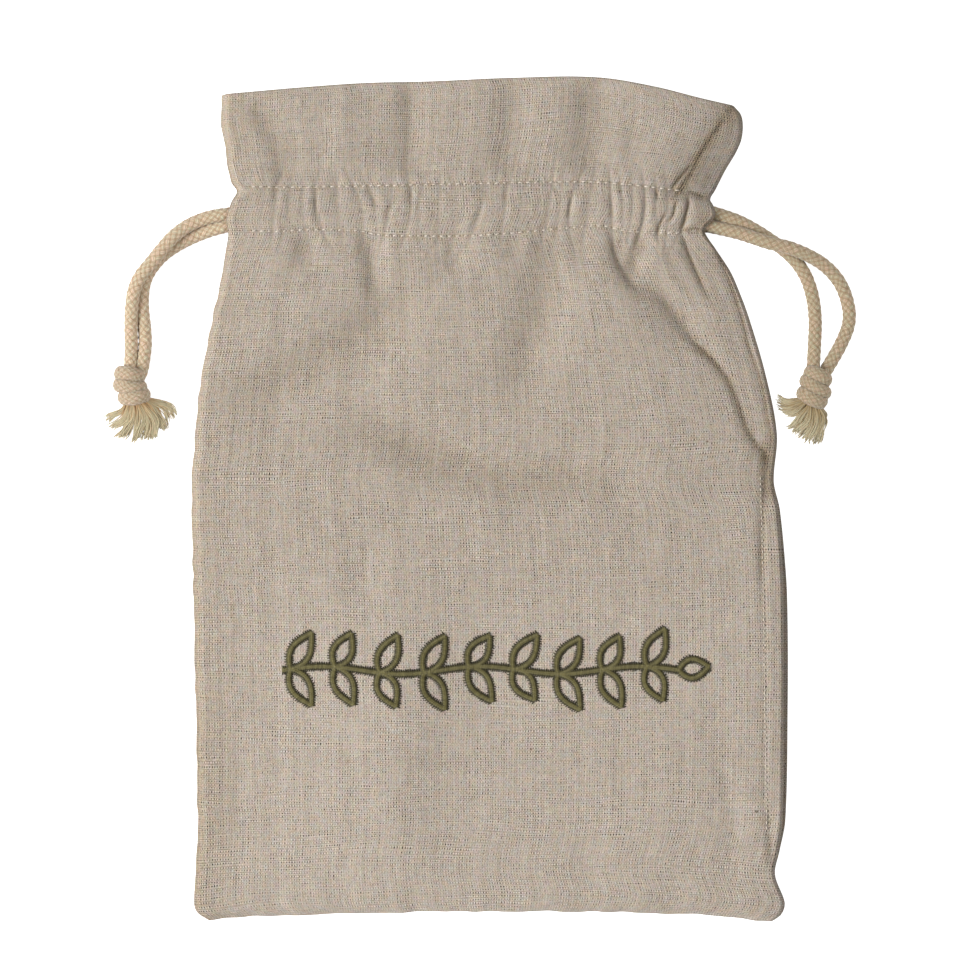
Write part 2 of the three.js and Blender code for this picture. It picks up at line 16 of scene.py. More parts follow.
import bpy
import numpy as np
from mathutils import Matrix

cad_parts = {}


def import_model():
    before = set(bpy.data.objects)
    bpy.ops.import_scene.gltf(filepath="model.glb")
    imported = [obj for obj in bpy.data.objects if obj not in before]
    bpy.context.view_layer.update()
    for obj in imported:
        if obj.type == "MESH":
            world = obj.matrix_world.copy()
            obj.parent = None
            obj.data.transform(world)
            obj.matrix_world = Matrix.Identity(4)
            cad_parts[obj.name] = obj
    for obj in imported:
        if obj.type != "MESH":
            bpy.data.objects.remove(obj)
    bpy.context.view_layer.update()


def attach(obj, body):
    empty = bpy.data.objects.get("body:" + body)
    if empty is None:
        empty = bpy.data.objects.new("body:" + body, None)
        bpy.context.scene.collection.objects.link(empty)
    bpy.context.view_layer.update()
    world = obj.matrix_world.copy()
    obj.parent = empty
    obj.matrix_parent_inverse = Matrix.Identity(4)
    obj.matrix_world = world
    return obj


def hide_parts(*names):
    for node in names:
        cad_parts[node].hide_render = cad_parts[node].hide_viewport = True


LOG = logging.getLogger("potato_sack")
MM = 0.001
SHORTEST = 1e-6

Point = tuple[float, float]
Spot = tuple[float, float, float]
Colour = tuple[float, float, float, float]
Face = tuple[int, ...]
Array = np.ndarray
Draw = np.random.Generator
Piece = bpy.types.Object
Material = bpy.types.Material


class Slot(Enum):
    """The names of the material slots."""

    LINEN = "linen"
    CORD = "cotton_cord"
    THREAD = "sewing_thread"
    OLIVE = "olive_thread"


class Panel(Enum):
    """The sack's two cloth panels."""

    FRONT = "front_panel"
    BACK = "back_panel"


class Side(Enum):
    """The sides of the sack, as seen from above with the mouth at the top."""

    LEFT = "left"
    RIGHT = "right"


def ease(value: Array) -> Array:
    """Give 0 at 0 and 1 at 1 with level ends, and hold both beyond them."""
    held = np.clip(value, 0.0, 1.0)
    return held * held * (3.0 - 2.0 * held)


def bell(distance: Array, width: float | Array, power: float = 2.0) -> Array:
    """Give 1 at no distance and 1/e at the width. The power is 2 for a round hollow, less for a sharp one."""
    return np.exp(-np.power(np.abs(distance) / width, power))


@dataclass(frozen=True)
class Track:
    """A smooth curve through a short table of (place, value) rows."""

    rows: tuple[Point, ...]

    def at(self, place: float | Array) -> Array:
        """Look the curve's value up.

        Args:
            place: Where to look, held to the table's own range.

        Returns:
            The value at each place.
        """
        places, values = np.array(self.rows, dtype=float).T
        last = len(places) - 1
        held = np.clip(place, places[0], places[last])
        i = np.clip(np.searchsorted(places, held, side="left") - 1, 0, last - 1)
        before = np.maximum(np.arange(last + 1) - 1, 0)
        after = np.minimum(np.arange(last + 1) + 1, last)
        slope = (values[after] - values[before]) / (places[after] - places[before])
        span = places[i + 1] - places[i]
        t = (held - places[i]) / span
        t2 = t * t
        t3 = t2 * t
        ends = (2 * t3 - 3 * t2 + 1) * values[i] + (3 * t2 - 2 * t3) * values[i + 1]
        return ends + span * ((t3 - 2 * t2 + t) * slope[i] + (t3 - t2) * slope[i + 1])


def smooth_route(points: Sequence[Sequence[float]], per_span: int) -> Array:
    """Draw a smooth curve through given points.

    Args:
        points: The points, in two or three dimensions.
        per_span: How many steps lie between two neighbours.

    Returns:
        The curve's points, one row each.
    """
    given = np.array(points, dtype=float)
    padded = np.vstack([2 * given[0] - given[1], given, 2 * given[-1] - given[-2]])
    steps = np.arange(per_span)[:, None] / per_span
    parts = []
    for i in range(len(given) - 1):
        a, b, c, d = padded[i : i + 4]
        bend = 2 * a - 5 * b + 4 * c - d
        twist = 3 * b - a - 3 * c + d
        parts.append(0.5 * (2 * b + (c - a) * steps + bend * steps**2 + twist * steps**3))
    parts.append(given[-1:])
    return np.vstack(parts)


def unit(rows: Array) -> Array:
    """Give each row's direction a length of 1."""
    return rows / np.maximum(np.linalg.norm(rows, axis=1, keepdims=True), SHORTEST)


def run_lengths(points: Array) -> Array:
    """Give how far along a route each of its points lies, from 0."""
    return np.concatenate([[0.0], np.cumsum(np.linalg.norm(np.diff(points, axis=0), axis=1))])


def even_route(points: Array, step: float) -> Array:
    """Lay evenly spaced points along a route.

    Args:
        points: The route's own points.
        step: Wanted distance between neighbours.

    Returns:
        The new points, with the route's ends kept.
    """
    along = run_lengths(points)
    count = max(2, int(round(along[-1] / step)) + 1)
    wanted = np.linspace(0.0, along[-1], count)
    return np.stack([np.interp(wanted, along, column) for column in points.T], axis=1)


class Ripple:
    """Smooth uneven values over the plane, the same in each run."""

    LATTICE = 61
    OFFSET = 1000.0

    def __init__(self, seed: int, across: float, along: float) -> None:
        """Set the ripple up.

        Args:
            seed: Which of the patterns it is.
            across: Size of its waves across the sack, in millimetres.
            along: Size of its waves along the sack.
        """
        draw = np.random.default_rng(seed)
        self.values = draw.uniform(-1.0, 1.0, (self.LATTICE, self.LATTICE))
        self.across = across
        self.along = along

    def at(self, x: Array, y: Array) -> Array:
        """Look the ripple's value up.

        Args:
            x: Places across the sack.
            y: Places along it.

        Returns:
            A value from -1 to 1 for each place.
        """
        column = np.asarray(x) / self.across + self.OFFSET
        row = np.asarray(y) / self.along + self.OFFSET
        i = np.floor(column).astype(int)
        j = np.floor(row).astype(int)
        s = ease(column - i)
        t = ease(row - j)
        a = self.values[i % self.LATTICE, j % self.LATTICE]
        b = self.values[(i + 1) % self.LATTICE, j % self.LATTICE]
        c = self.values[i % self.LATTICE, (j + 1) % self.LATTICE]
        d = self.values[(i + 1) % self.LATTICE, (j + 1) % self.LATTICE]
        return (a * (1 - s) + b * s) * (1 - t) + (c * (1 - s) + d * s) * t


@dataclass(frozen=True)
class Fold:
    """A trough or a ridge of the cloth along a path, given from its upper end.

    A depth below 0 is a trough. left and right are its widths on either side of someone who
    walks the path, ends the length over which it fades out, sharp the power of its section
    (2 is round), dark the painted shade of a thin line in its bottom, line how wide that is,
    shade the painted shade over a trough's width, reaching half as far on its left side, and
    end_share how far the fold has risen at its very ends.
    """

    depth: float
    left: float
    right: float
    ends: float
    path: tuple[Point, ...]
    sharp: float = 2.0
    dark: float = 0.0
    shade: float = 0.04
    end_share: float = 0.25
    line: float = 0.55

    REACH = 3.2
    LIT_SHARE = 0.5

    def beside(self, x: Array, y: Array) -> tuple[Array, Array]:
        """Measure places against the path.

        Args:
            x: Places across the sack.
            y: Places along it.

        Returns:
            The distance from the path, positive to its right, and the share of the fold's
            strength left there towards its ends.
        """
        route = smooth_route(self.path, 4)
        best = np.full(x.shape, np.inf)
        side = np.ones(x.shape)
        along = np.zeros(x.shape)
        walked = 0.0
        for (ax, ay), (bx, by) in zip(route, route[1:]):
            dx = bx - ax
            dy = by - ay
            length = math.hypot(dx, dy)
            t = np.clip(((x - ax) * dx + (y - ay) * dy) / (length * length), 0.0, 1.0)
            distance = np.hypot(x - ax - t * dx, y - ay - t * dy)
            nearer = distance < best
            best = np.where(nearer, distance, best)
            side = np.where(nearer, np.where(dx * (y - ay) - dy * (x - ax) > 0, -1.0, 1.0), side)
            along = np.where(nearer, walked + t * length, along)
            walked += length
        from_end = np.minimum(along, walked - along)
        return best * side, ease(self.end_share + from_end / self.ends)

    def add_to(self, x: Array, y: Array, height: Array, dark: Array) -> None:
        """Add the fold to the heights and to the painted shade of the cloth.

        Args:
            x: Places across the sack.
            y: Places along it.
            height: Heights that the fold changes.
            dark: Painted shade from 0 to 1 that the fold deepens.
        """
        reach = self.REACH * max(self.left, self.right)
        xs, ys = zip(*self.path)
        near = (x > min(xs) - reach) & (x < max(xs) + reach)
        near &= (y > min(ys) - reach) & (y < max(ys) + reach)
        if not near.any():
            return
        distance, share = self.beside(x[near], y[near])
        width = np.where(distance > 0, self.right, self.left)
        height[near] += self.depth * bell(distance, width, self.sharp) * share
        if self.depth < 0:
            shaded = np.where(distance > 0, self.right, self.LIT_SHARE * self.left)
            dark[near] += self.shade * bell(distance, shaded, self.sharp) * share
        if self.dark:
            deep = self.dark * bell(distance, self.line) * share
            dark[near] = np.maximum(dark[near], deep)


@dataclass(frozen=True)
class Hollow:
    """The hollow between two gathers: its place at the upper stitches, midway and at the lower ones."""

    upper: float
    middle: float
    lower: float
    depth: float

    def at(self, share: Array) -> Array:
        """Give its place across the sack; share is 0 at the lower stitches, 1 at the upper ones."""
        bow = self.upper + self.lower - 2 * self.middle
        return self.lower + share * (4 * self.middle - self.upper - 3 * self.lower) + 2 * bow * share**2


@dataclass(frozen=True)
class Patch:
    """A wide patch of painted shade on the cloth, or of painted light if dark is below 0."""

    x: float
    y: float
    wide: float
    tall: float
    dark: float

    def at(self, x: Array, y: Array) -> Array:
        """Give how much darker each place is for it."""
        return self.dark * bell((x - self.x) / self.wide, 1.0) * bell((y - self.y) / self.tall, 1.0)


@dataclass(frozen=True)
class SackShape:
    """The lying shape of the two cloth panels."""

    single_cloth: float = 1.0
    double_cloth: float = 1.6
    gap: float = 0.3
    bottom: float = -197.0
    casing_low: float = 127.5
    casing_high: float = 149.0
    mouth: float = 197.0
    turn_down: float = 6.0
    straight_from: float = 60.0
    straight_to: float = 50.0
    wobble_reach: float = 8.0
    level_steps: int = 6
    left_rim: float = 3.4
    right_rim: float = 1.3
    rim_share: float = 0.84
    bottom_rim_share: float = 0.6
    rim_power: float = 2.2
    slope_power: float = 1.8
    slope: float = 56.0
    header_slope: float = 34.0
    shoulder_from: float = 80.0
    shoulder_to: float = 130.0
    casing_puff: float = 1.4
    stitch_dip: float = 0.45
    stitch_dip_width: float = 1.5
    stitch_start: float = -113.0
    stitch_pitch: float = 3.72
    stitch_gap: float = 0.75
    # Needle holes, and the painted shade in them
    hole_width: float = 0.55
    hole_dark: float = 0.5
    gather_depth: float = 0.32
    gather_above: float = 13.0
    gather_below: float = 17.0
    hollow_range: Point = (-0.5, 1.4)
    flap_from: float = 147.0
    flap_dark_to: float = 185.0
    # Painted shade along the flap's crease and in its corner
    flap_dark: float = 1.05
    flap_corner_dark: float = 0.22
    flap_corner_from: float = 174.0
    flap_drop: float = 4.6
    flap_width: float = 13.0
    flap_power: float = 1.45
    flap_fade: float = 6.0
    edge_shade: float = 0.08
    edge_shade_width: float = 13.0
    rim_shade: float = 0.4
    rim_shade_width: float = 2.4
    rim_shade_from: float = 30.0
    rim_shade_over: float = 60.0
    taken_width: float = 1.6
    taken_spread: float = 8.0
    # Painted light over the lower part of the body, from low_light_from downwards
    low_light: float = 0.1
    low_light_from: float = 10.0
    low_light_over: float = 90.0
    edge_wobble: float = 0.4

    left_edge: Track = Track((
        (-197, -133.5), (-193, -138.8), (-187, -140.2), (-152, -138.8), (-71, -140.1),
        (4, -141.5), (33, -139.7), (57, -137.2), (88, -131.2), (116, -125.4), (126, -123.9),
        (134, -124.4), (141, -122.4), (147, -119.4), (152, -122.4), (160, -124.6),
        (172, -125.2), (183, -127.2), (197, -127.1),
    ))
    right_edge: Track = Track((
        (-197, 133.6), (-193, 138.3), (-188, 139.8), (-176, 135.2), (-166, 136.8),
        (-152, 139.0), (-100, 139.6), (-53, 139.6), (-36, 139.2), (-5, 137.0), (9, 134.6), (31, 136.1),
        (59, 130.8), (87, 122.6), (100, 117.8), (109, 113.8), (120, 106.5), (125, 102.7), (128, 101.2),
        (130.6, 102.2), (134, 105.0), (137.6, 106.4), (142.5, 105.4), (145.7, 104.0), (148, 104.4),
        (151, 106.3), (156, 108.7), (161.5, 111.2), (167, 113.9), (173, 116.6), (180, 118.9),
        (188, 119.6), (193.5, 118.6), (197, 115.6),
    ))
    # The pressed seam allowance beside the right edge, and how high it lies
    right_flange: Track = Track((
        (-197, 0.0), (-176, 0.5), (-165, 4.5), (-150, 7.2), (-100, 8.8), (-53, 9.2), (-5, 8.0),
        (9, 6.5), (31, 4.0), (59, 3.4), (87, 3.0), (109, 1.5), (120, 0.0),
    ))
    right_rim_share: Track = Track((
        (-197, 0.6), (-180, 0.6), (-165, 0.72), (-5, 0.72), (12, 0.6), (31, 0.5), (80, 0.4), (197, 0.45),
    ))
    right_under: Track = Track((
        (-197, 0.5), (-193, 0.3), (-188, 0.0), (-176, 0.0), (-166, 0.5), (-152, 1.2),
        (-100, 1.7), (-53, 1.6), (-5, 0.6), (9, 0.0), (31, 0.0), (197, 0.0),
    ))
    bottom_line: Track = Track((
        (-138, -3.2), (-128, -2.3), (-116, -1.3), (-94, -0.3), (0, 1.4), (94, 0.1), (138, -3.9),
    ))
    straight_line: Track = Track(((-140, 0.0), (140, 0.0)))
    casing_low_line: Track = Track((
        (-114, -0.1), (-100, -0.3), (-86, 0.5), (-62, -0.1), (-53, -1.8), (-34, -2.5), (-9, -2.4),
        (14, -0.8), (36, 1.2), (53, 2.3), (65, 0.0), (81, -1.0), (102, -0.8),
    ))
    casing_high_line: Track = Track((
        (-114, -0.6), (-95, -0.9), (-47, 0.0), (-5, 0.9), (28, 1.6), (50, 1.6), (71, -0.2),
        (102, -4.0),
    ))
    mouth_line: Track = Track((
        (-127, -5.4), (-64, -0.4), (-26, 0.7), (12, 2.4), (51, 2.6), (78, -1.8), (100, -7.2), (116, -10.6),
    ))
    loft_middle: Track = Track((
        (-197, 7.4), (-60, 7.8), (60, 8.8), (100, 10.9), (116, 11.7), (125, 12.0),
        (140, 12.0), (150, 12.0), (158, 11.6), (197, 11.5),
    ))
    loft_side: Track = Track((
        (-197, 0.0), (-60, 0.0), (60, 0.0), (100, 0.05), (116, 0.3), (125, 0.66),
        (140, 0.66), (150, 0.2), (158, 0.05), (197, 0.05),
    ))
    flap_fold: Fold = Fold(-1.2, 2.4, 5.0, 8, (
        (115.5, 189.0), (111.7, 182.6), (107.2, 175.5), (102.5, 168.4), (98.2, 161.5), (95.8, 156.2),
        (92.6, 151.0), (90.0, 147.0), (86.0, 141.0), (82.5, 135.0),
    ), 1.5)
    back_waves: tuple[Spot, ...] = ((-72.0, 0.8, 15.0), (62.0, 0.9, 13.0))

    # The hollows between the gathers, from the left
    hollows: tuple[Hollow, ...] = tuple(Hollow(*row) for row in (
        (-113.5, -114, -115, 0.5), (-107, -108, -110, 0.6), (-100, -102, -103, 1.3),
        (-94, -95.5, -97.5, 0.9), (-88.5, -88.8, -87.4, 1.0), (-82.4, -82.3, -79.5, 1.5),
        (-72.2, -71.7, -70.5, 1.3), (-64.5, -60.8, -59.8, 1.3), (-57.5, -54.0, -53, 0.9),
        (-46, -47.6, -50.3, 1.2), (-37.6, -37.3, -40, 1.4), (-31.5, -33.9, -33, 0.8),
        (-23.5, -24.0, -24.5, 1.1), (-17.5, -15.5, -16.5, 0.6), (-3.0, -4.2, -8.8, 1.2),
        (9.4, 7.2, 5.8, 1.3), (17.5, 15.0, 14.0, 0.8), (29.8, 28.2, 26.2, 1.3),
        (34.5, 33.5, 32.0, 0.6), (41.8, 38.0, 37.6, 1.3), (48.9, 47.0, 45.3, 1.2),
        (57.2, 57.9, 58.4, 1.7), (62.2, 63.0, 63.2, 0.9), (67.5, 67.6, 66.2, 0.9),
        (73.4, 73.5, 71.0, 1.5), (78.6, 79.0, 79.6, 1.2), (84.0, 84.4, 84.0, 1.1),
        (94.5, 93.6, 90.2, 1.3), (102.0, 101.0, 98.0, 0.4),
    ))

    # The sharp creases of the casing, from their upper ends
    creases: tuple[Fold, ...] = (
        Fold(-0.4, 1.2, 1.2, 5, ((-94.0, 146), (-91.5, 142.5)), dark=0.12),
        Fold(-0.5, 1.3, 1.3, 6, ((-99.7, 153), (-101.5, 147), (-102.0, 141)), 1.7, 0.16),
        Fold(-0.6, 1.3, 1.1, 7, ((-82.5, 146), (-82.3, 134)), 1.7, 0.24),
        Fold(-0.6, 1.3, 1.2, 5, ((-57.5, 148.5), (-55.2, 142), (-53.6, 138)), 1.7, 0.26),
        Fold(-0.5, 1.4, 1.3, 6, ((-42.5, 143), (-47.5, 138), (-49.3, 132)), 1.7, 0.16),
        Fold(-0.6, 1.3, 1.2, 6, ((-37.3, 149), (-37.4, 140.5)), 1.7, 0.26),
        Fold(-0.5, 1.2, 1.1, 6, ((-33.8, 141), (-34.2, 136.5)), 1.7, 0.2),
        Fold(-0.4, 1.3, 1.3, 6, ((-22.5, 148.2), (-18.0, 144.4)), 1.8, 0.08),
        Fold(-0.5, 1.5, 1.4, 7, ((-3.2, 140), (-6.0, 133.4), (-8.8, 128)), 1.8, 0.12),
        Fold(-0.5, 1.5, 1.3, 7, ((9.4, 151), (7.2, 145.3), (7.0, 140.6)), 1.8, 0.12),
        Fold(-0.6, 1.2, 1.1, 5, ((29.8, 150.4), (31.6, 146.5), (33.0, 144)), 1.7, 0.2),
        Fold(-0.6, 1.3, 1.1, 6, ((39.5, 145), (37.8, 138.5), (37.8, 131.8)), 1.7, 0.26),
        Fold(-0.5, 1.2, 1.1, 6, ((42.3, 152.1), (42.9, 146.1)), 1.7, 0.2),
        Fold(-0.6, 1.6, 1.5, 8, ((57.3, 146.6), (58.0, 137), (58.2, 129.2)), 1.8, 0.18),
        Fold(-0.4, 1.2, 1.2, 5, ((62.0, 148.7), (62.4, 144.1)), 1.8, 0.14),
        Fold(-0.6, 1.6, 1.4, 8, ((73.4, 144), (73.4, 133.4), (71.7, 127.5), (67.9, 116.6)), 1.8, 0.16),
        Fold(-0.9, 1.3, 0.8, 6, ((78.7, 147.4), (79.2, 144), (79.2, 141.3)), 1.6, 0.6),
        Fold(-0.9, 1.3, 0.9, 6, ((83.8, 136.4), (81.7, 133.1), (80.0, 128.7), (79.5, 124.4)), 1.6, 0.85),
        Fold(-0.9, 1.4, 0.9, 5, ((88.3, 142.4), (88.0, 139.7), (86.9, 135.3), (85.2, 132.6), (84.1, 131.8)),
             1.6, 0.75),
        Fold(-1.3, 1.6, 0.9, 5, ((93.7, 143.5), (94.0, 140.3), (92.9, 135.3), (91.8, 131), (90.7, 127.6)),
             1.6, 0.85),
        Fold(-0.8, 0.9, 0.9, 3, ((90.2, 127.6), (94.3, 127.9), (97.0, 128.5), (100.3, 127.6)), 1.6, 0.7),
        Fold(-0.8, 0.9, 0.9, 3, ((94.3, 146), (97.6, 145.4), (100.3, 144), (101.9, 143)), 1.6, 0.65),
    )

    # The folds of the body and the header, from their upper ends
    folds: tuple[Fold, ...] = (
        Fold(-2.0, 10, 7, 10, ((60, 125), (63.5, 113), (72, 102), (78, 96)), 1.8, shade=0.06),
        Fold(-1.35, 5.0, 2.2, 15, ((57.5, 128), (59.3, 118.5), (61.6, 111.9), (66.4, 104.2), (72.5, 98.2)),
             1.5, 0.26, 0.1),
        Fold(-2.2, 9, 11, 16, ((72, 109), (80, 101.8), (86.5, 95), (91.2, 88), (96.5, 81), (102, 74)), 1.8,
             shade=0.06, end_share=0.1),
        Fold(-1.2, 5, 3.0, 10, ((74, 101.8), (82.5, 95.2), (87.6, 88.4), (92.7, 81.4), (98.4, 74.3),
             (105.5, 67.3)), 1.8, 0.25, 0.12, line=1.1),
        Fold(-1.7, 6.0, 2.0, 16, ((94.5, 77), (98.2, 73.6), (105.4, 66.5), (111.4, 59.3), (115.2, 52),
             (118, 44.9), (120.4, 37.8), (123.3, 30.6), (127.2, 25.3), (130.7, 21),
             (131.5, 13)), 1.6, 0.8, 0.14, line=1.05),
        Fold(-1.1, 7.0, 2.8, 8, ((91, 127.4), (93, 119.9), (95.8, 112.5), (99.8, 104), (104.2, 97),
             (108, 92)), 1.8, shade=0.1),
        Fold(-0.4, 5.0, 2.4, 12, ((82, 123), (85.5, 114), (93.5, 99), (100.5, 89), (108, 80)), 1.8,
             shade=0.06),
        Fold(-0.9, 1.4, 1.0, 14, ((90.2, 127.4), (91.8, 124.3), (93.4, 119.4), (95.3, 114.5), (98.8, 106.5),
             (102, 99.5), (105, 94)), 1.5, 0.5, line=0.8),
        Fold(-0.8, 1.4, 1.0, 10, ((106, 118), (111.6, 109), (118.4, 91), (121.2, 81), (122.8, 73.4),
             (125.4, 66.3), (128, 59), (129.8, 52), (131, 45), (132.2, 37.8),
             (133.6, 30.6), (133, 22)), 1.6, 0.5, line=0.8),
        Fold(-1.8, 5, 3.4, 8, ((73.5, 126), (70.5, 117), (66.5, 107)), 1.8, 0.2, 0.25),
        Fold(-1.4, 8, 5, 9, ((-88, 128), (-87.5, 108)), shade=0.08),
        Fold(-2.2, 7, 5, 12, ((-57.5, 128), (-56, 112), (-54.5, 94)), 1.8, shade=0.1),
        Fold(-3.6, 22, 11, 44, ((-35, 107), (-41, 97), (-52, 83), (-74, 68), (-98, 56), (-130, 38)),
             shade=0.12),
        Fold(-1.3, 7, 5, 10, ((-18, 128), (-16, 106))),
        Fold(-0.9, 5, 4, 8, ((10, 128), (10.5, 112))),
        Fold(-2.6, 13, 12, 46, ((28.5, 134), (27, 104), (20.5, 74), (12, 40)), shade=0.1),
        Fold(-1.1, 7, 5, 9, ((42.5, 128), (43, 110))),
        Fold(-2.6, 14, 11, 60, ((-88, 48), (-70, 40), (-44, 30), (-14, 18), (14, 11.5), (46, 11), (90, 4)),
             shade=0.14, end_share=0.0),
        Fold(-0.8, 5, 9, 24, ((-58, -8), (-60, -58)), end_share=0.0),
        Fold(2.6, 26, 42, 70, ((-48, -10), (-50, -215)), end_share=0.1),
        Fold(-0.75, 5.5, 6, 50, ((107.5, -96), (110, -119), (114.2, -146), (115.6, -172), (115.8, -204)),
             shade=0.02, end_share=0.1),
        Fold(-1.0, 4.0, 1.8, 16, ((131.8, 24), (130.4, 8), (129.3, -10), (129.0, -44)), 1.6, 0.4, 0.16,
             line=0.8),
        Fold(-0.35, 2.0, 1.4, 16, ((129.0, -20), (129.2, -40), (129.9, -89), (131.2, -152)), 1.6, 0.05),
        Fold(-1.1, 4.0, 1.6, 10, ((132.2, -146), (132.6, -160), (134.6, -177)), 1.6, 0.4, 0.12),
        Fold(-1.6, 5.0, 4.5, 8, ((128, 27), (132.5, 18), (134, 8), (134.4, -2)), 1.8, 0.2, 0.3),
        Fold(-1.5, 12, 5, 12, ((-111.5, 190), (-101, 169), (-97, 148)), shade=0.1),
        Fold(0.9, 9, 6, 16, ((-70, 200), (-70, 152))),
        Fold(-2.3, 13, 8, 14, ((-36.5, 200), (-37.5, 175), (-37.5, 152)), 1.5, shade=0.08),
        Fold(-1.8, 12, 8, 14, ((12, 202), (10.5, 180), (8, 152))),
        Fold(-2.3, 13, 9, 14, ((50, 202), (49, 180), (46, 152)), shade=0.08),
        Fold(-0.7, 6, 5, 12, ((69, 196), (67, 170), (67, 155))),
        Fold(-0.8, 1.4, 1.2, 5, ((96.5, 160), (92.6, 155.6), (88.6, 150.8), (85.3, 146.2)), 1.6, 1.0, 0.1,
             line=0.75),
        Fold(-0.6, 6, 5, 16, ((-104, -178), (-106, -203))),
        Fold(-0.7, 7, 6, 16, ((-71, -176), (-70, -203))),
        Fold(-0.7, 7, 6, 16, ((-36, -180), (-38, -203))),
        Fold(-0.6, 7, 7, 16, ((4, -176), (6, -203))),
        Fold(-0.7, 8, 6, 16, ((47, -172), (44, -203))),
        Fold(-0.7, 7, 6, 16, ((84, -178), (86, -203))),
    )
    # Patches of painted shade, and of painted light where dark is below 0
    patches: tuple[Patch, ...] = (
        Patch(-78, -145, 34, 55, -0.05), Patch(110, -42, 14, 50, -0.07), Patch(-80, 46, 18, 18, -0.06),
        Patch(72, 47, 20, 18, -0.05), Patch(-133, -140, 20, 90, 0.19), Patch(100, -150, 16, 50, 0.05),
        Patch(133.4, 24, 2.4, 5, 0.4), Patch(128, 23.5, 1.6, 4.5, -0.2), Patch(102.5, 129.5, 3.2, 6, 0.56),
        Patch(134.4, -76, 4, 70, 0.1), Patch(-121, 176, 9, 22, 0.1),
        Patch(-124.6, 132.8, 1.5, 4.6, -0.14),
    )
    wobble: Ripple = Ripple(17, 7.0, 6.0)
    ripples: tuple[tuple[Ripple, float], ...] = (
        (Ripple(3, 34.0, 46.0), 0.4),
        (Ripple(7, 12.0, 19.0), 0.2),
        (Ripple(11, 5.5, 8.0), 0.075),
    )

    def thickness(self, level: Array) -> Array:
        """Give the cloth's thickness, which is double from the casing up."""
        rise = ease((level - self.casing_low) / self.turn_down + 1)
        return self.single_cloth + (self.double_cloth - self.single_cloth) * rise

    def left_at(self, level: Array) -> Array:
        """Give the left edge at each level."""
        return self.left_edge.at(level) + self.edge_wobble * self.wobble.at(0.0, level)

    def right_at(self, level: Array, panel: Panel) -> Array:
        """Give the right edge of a panel.

        Args:
            level: The cloth's own levels.
            panel: The panel.

        Returns:
            The edge's place across the sack at each level.
        """
        edge = self.right_edge.at(level)
        if panel is Panel.BACK:
            edge = edge + np.maximum(0.0, self.right_under.at(level))
        return edge

    def shift(self, x: Array, level: Array) -> Array:
        """Say how far the cloth's own level lines lie above their levels.

        Args:
            x: Places across the sack.
            level: Levels of the lines.

        Returns:
            How much higher the line runs at each place.
        """
        stops = (
            (self.bottom, self.bottom_line),
            (self.bottom + self.straight_from, self.straight_line),
            (self.casing_low - self.straight_to, self.straight_line),
            (self.casing_low, self.casing_low_line),
            (self.casing_high, self.casing_high_line),
            (self.mouth, self.mouth_line),
        )
        total = np.zeros(np.broadcast(x, level).shape)
        for (low, line), (high, next_line) in zip(stops, stops[1:]):
            inside = (level > (low if low > self.bottom else low - 1)) & (level <= high)
            lower = line.at(x)
            value = lower + (next_line.at(x) - lower) * ease((level - low) / (high - low))
            total = np.where(inside, value, total)
        near_bottom = ease((self.bottom + self.wobble_reach - level) / self.wobble_reach)
        return total + self.edge_wobble * self.wobble.at(x, 0.0) * near_bottom

    def level_at(self, x: Array, y: Array) -> Array:
        """Find the cloth's own level at places on it.

        Args:
            x: Places across the sack.
            y: Places along it.

        Returns:
            The level of each place.
        """
        level = np.array(y, dtype=float)
        for _ in range(self.level_steps):
            level = y - self.shift(x, np.clip(level, self.bottom, self.mouth))
        return np.clip(level, self.bottom, self.mouth)

    def casing_lines(self, x: Array) -> tuple[Array, Array]:
        """Say where the casing's lower and upper stitches run at each place across the sack."""
        return self.casing_low + self.casing_low_line.at(x), self.casing_high + self.casing_high_line.at(x)

    def gathers(self, share: float | Array) -> tuple[Array, Array]:
        """Give the hollows of the gathers.

        Args:
            share: Share of the casing's height, from its lower seam.

        Returns:
            Their places across the sack there, and their depths.
        """
        held = np.clip(share, *self.hollow_range)
        places, depths = zip(*((hollow.at(held), hollow.depth) for hollow in self.hollows))
        return np.array(places), np.array(depths)

    def neck(self, x: Array, y: Array, dark: Array) -> Array:
        """Give the relief of the casing and of its gathers, and paint shade into the needle's holes.

        Args:
            x: Places across the sack.
            y: Places along it.
            dark: The painted shade of each place, which the holes add to.

        Returns:
            The height for each place.
        """
        low, high = self.casing_lines(x)
        share = (y - low) / (high - low)
        puff = self.casing_puff * np.sin(np.pi * np.clip(share, 0.0, 1.0))
        number = (x - self.stitch_start + self.stitch_gap) / self.stitch_pitch
        beside = (number - np.round(number)) * self.stitch_pitch
        for line in (low, high):
            puff = puff - self.stitch_dip * bell(y - line, self.stitch_dip_width)
            dark += self.hole_dark * bell(np.hypot(beside, y - line), self.hole_width)
        fade = ease((y - low + self.gather_below) / self.gather_below)
        fade = fade * ease((high + self.gather_above - y) / self.gather_above)
        sunk = np.zeros(x.shape)
        near = fade > 0
        places, depths = self.gathers(share[near])
        after = np.clip(np.sum(places <= x[near], axis=0), 1, len(depths) - 1)
        before = np.take_along_axis(places, after[None] - 1, 0)[0]
        span = np.maximum(np.take_along_axis(places, after[None], 0)[0] - before, 1.0)
        t = np.clip((x[near] - before) / span, 0.0, 1.0)
        depth = depths[after - 1] * (1 - t) + depths[after] * t
        sunk[near] = -self.gather_depth * depth * (1 - 4 * t * (1 - t)) * fade[near]
        return puff + sunk

